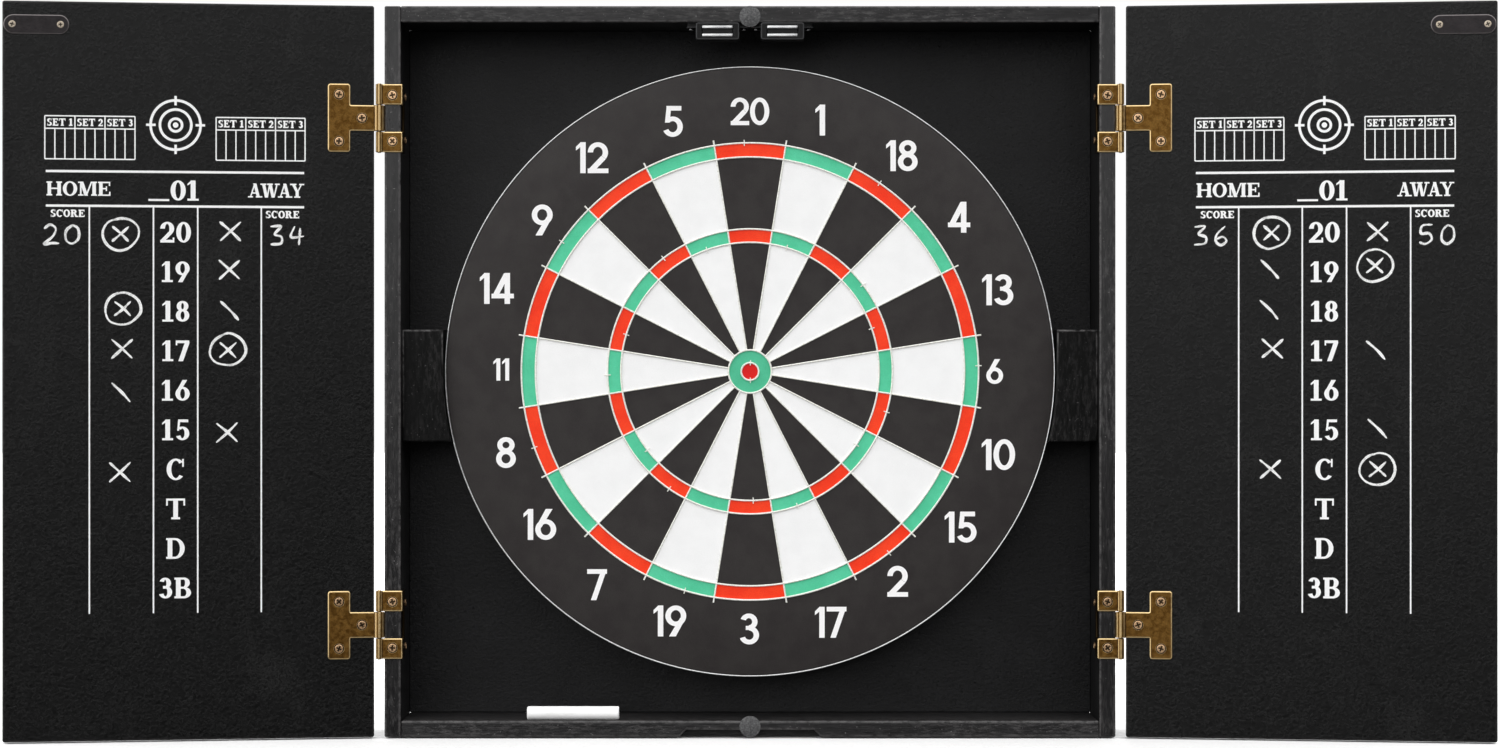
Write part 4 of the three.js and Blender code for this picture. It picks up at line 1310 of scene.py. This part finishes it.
def drawnLine(points, lift=0.0):
    # a curve through the points: between b and c, with a before them and d after, it is half of
    # 2b + (c - a) t + (2a - 5b + 4c - d) t t + (3b - a - 3c + d) t t t. Its width swells and
    # thins along the way and falls off at both ends
    p = np.array(points, float)
    p = p + wrist.normal(0, 0.16, p.shape)
    ends = np.vstack([2 * p[0] - p[1], p, 2 * p[-1] - p[-2]])
    a, b, c, d = (ends[start:start + len(p) - 1, None] for start in range(4))
    t = np.linspace(0, 1, 7)[None, :-1, None]
    curve = 0.5 * (2 * b + (c - a) * t + (2 * a - 5 * b + 4 * c - d) * t ** 2
                   + (3 * b - a - 3 * c + d) * t ** 3)
    curve = np.vstack([curve.reshape(-1, 2), p[-1:]])
    ahead = unit(np.gradient(curve, axis=0))
    across = np.stack([-ahead[:, 1], ahead[:, 0]], axis=1)
    share = np.linspace(0, 1, len(curve))
    swell = 1 + 0.22 * np.sin(share * 9 + wrist.uniform(0, 6)) + wrist.normal(0, 0.07, len(curve))
    ends = np.clip(np.minimum(share, 1 - share) * 12 + 0.45, 0, 1)
    half = (tally["wide"] / 2 * swell * ends)[:, None]
    return strip(curve + across * half, curve - across * half, tally["thick"] + lift)


def drawnMark(kind, x, z):
    x, z = x + wrist.normal(0, tally["jitter"]), z + wrist.normal(0, tally["jitter"])
    shapes = []
    small = tally["ringed"] if "o" in kind else 1.0
    if "x" in kind:
        dx, dz = np.array(tally["cross"]) * small
        shapes.append(drawnLine([(x - dx, z + dz), (x, z + 0.3), (x + dx, z - dz)]))
        shapes.append(drawnLine([(x + dx, z + dz), (x, z - 0.3), (x - dx, z - dz)], 0.02))
    if kind == "/":
        dx, dz = tally["slash"]
        shapes.append(drawnLine([(x - dx, z + dz), (x + 0.4, z - 0.4), (x + dx * 0.8, z - dz)]))
    if "o" in kind:
        angle = np.linspace(1.8, 1.8 + 2 * math.pi * 1.04, 13)
        lumps = 1 + 0.03 * np.sin(angle * 2) + 0.03 * np.sin(angle * 3 + z)
        reach = np.outer(lumps, tally["circle"])
        loop = np.array([x, z]) + reach * np.stack([np.cos(angle), np.sin(angle)], axis=1)
        shapes.append(drawnLine(loop, 0.04))
    return shapes


def drawnScore(text, x, z):
    shapes = []
    wide, tall = tally["digit"]
    for place, digit in enumerate(text):
        for number, line in enumerate(hand[digit]):
            points = (np.array(line) - 0.5) * np.array([wide * tally["digitWide"], tall])
            middle = np.array([x + (place - 0.5) * wide, z])
            shapes.append(drawnLine(points + middle, 0.015 * number))
    return shapes


for name, side in sides.items():
    drawn = []
    for sign in (-1, 1):
        for row, kind in marks[name, sign].items():
            strayX, strayZ = strays.get((name, sign, row), (0, 0))
            drawn += drawnMark(kind, sign * score["column"] + strayX,
                               score["rowTop"] - score["pitch"] * row + strayZ)
    for sign, text in zip((-1, 1), scores[name]):
        drawn += drawnScore(text, sign * scores["column"], score["rowTop"] - scores["drop"])
    addPiece(f"chalk_marks_{name}", onDoor(drawn, side), chalkDrawn, f"{name}_door", "chalk")


# The stick of chalk, one end worn round

stick = {"radius": 5.0, "worn": 1.3, "fresh": 0.5, "wave": 0.006, "wavePitch": 0.35}
low, high = corners("chalk_stick")
radius, worn, fresh = stick["radius"], stick["worn"], stick["fresh"]
wornEnd = [(0, low[0]), *quarter((radius - worn, low[0] + worn), worn, -90, 0, 5)]
freshEnd = [(radius, high[0] - fresh), (radius - fresh, high[0]), (0, high[0])]
spans = np.linspace(low[0] + worn, high[0] - fresh, 12)[1:-1]
profile = wornEnd + [(radius, x) for x in spans] + freshEnd
rod = turnedRound(profile, 36).laid("yxz")
middle = (low + high) / 2
rod.points[:, 1:] *= 1 + stick["wave"] * np.sin(rod.points[:, :1] * stick["wavePitch"])
addPiece("chalk_rod", rod.moved(0, middle[1], middle[2]), chalkWhite, "chalk", "chalk", "chalk_stick")
print("chalk made")


# Stage: pale floor, soft light all round, and a camera square to the front

# in metres, but for the sensor
stage = {"distance": 2.5, "seenWidth": 1.1078, "aimZ": -0.00185, "floorGap": 0.0012,
         "floorReach": 9.0, "sensor": 36}

floorMesh = bpy.data.meshes.new("floor")
reach = stage["floorReach"]
floorZ = cadLow[2] - stage["floorGap"]
floorMesh.from_pydata([(-reach, -reach, floorZ), (reach, -reach, floorZ), (reach, reach, floorZ),
                       (-reach, reach, floorZ)], [], [(0, 1, 2, 3)])
paleFloor = Finish("paleFloor", Specular_IOR_Level=0.1, Roughness=0.9,
                   Base_Color=tone(250, 250, 250))
floorMesh.materials.append(paleFloor.finished())
floor = bpy.data.objects.new("floor", floorMesh)
scene.collection.objects.link(floor)
floor.visible_diffuse = False
floor.visible_glossy = False

# The studio's light comes from above and a little from the left, and some comes back from the
# ground: its strength is a smooth step in the height of each direction, up and down. The
# backdrop itself stays plain white
studio = {"dark": 0.08, "bright": 1.95, "low": 0.01, "high": 0.15, "leftward": 0.3,
          "ground": 0.3, "groundNear": -0.25, "groundFar": -0.7}
scene.world = bpy.data.worlds.new("softStudio")
sky = Wiring(scene.world)
direction = sky.add("ShaderNodeTexCoord", output="Generated")
upward = sky.add("ShaderNodeVectorMath", {"operation": "DOT_PRODUCT"},
                 {0: direction, 1: (-studio["leftward"], 0, 1)}, "Value")
glow = sky.ramp(upward, studio["low"], studio["high"], studio["dark"], studio["bright"])
glow = glow + sky.ramp(upward, studio["groundFar"], studio["groundNear"], studio["ground"], 0)
seen = sky.add("ShaderNodeLightPath", output="Is Camera Ray")
strength = sky.add("ShaderNodeMix", {}, {"Factor_Float": seen, "A_Float": glow, "B_Float": 1.0},
                   "Result_Float")
light = sky.add("ShaderNodeBackground", {}, {"Color": (1, 1, 1, 1), "Strength": strength})
sky.add("ShaderNodeOutputWorld", {}, {"Surface": light})

camera = bpy.data.objects.new("camera", bpy.data.cameras.new("camera"))
camera.data.sensor_width = stage["sensor"]
camera.data.lens = stage["sensor"] * stage["distance"] / stage["seenWidth"]
camera.location = (0, frontY * mm - stage["distance"], stage["aimZ"])
camera.rotation_euler = (math.pi / 2, 0, 0)
scene.collection.objects.link(camera)
scene.camera = camera
scene.view_settings.view_transform = "Standard"

bpy.context.view_layer.update()
print("stage set")
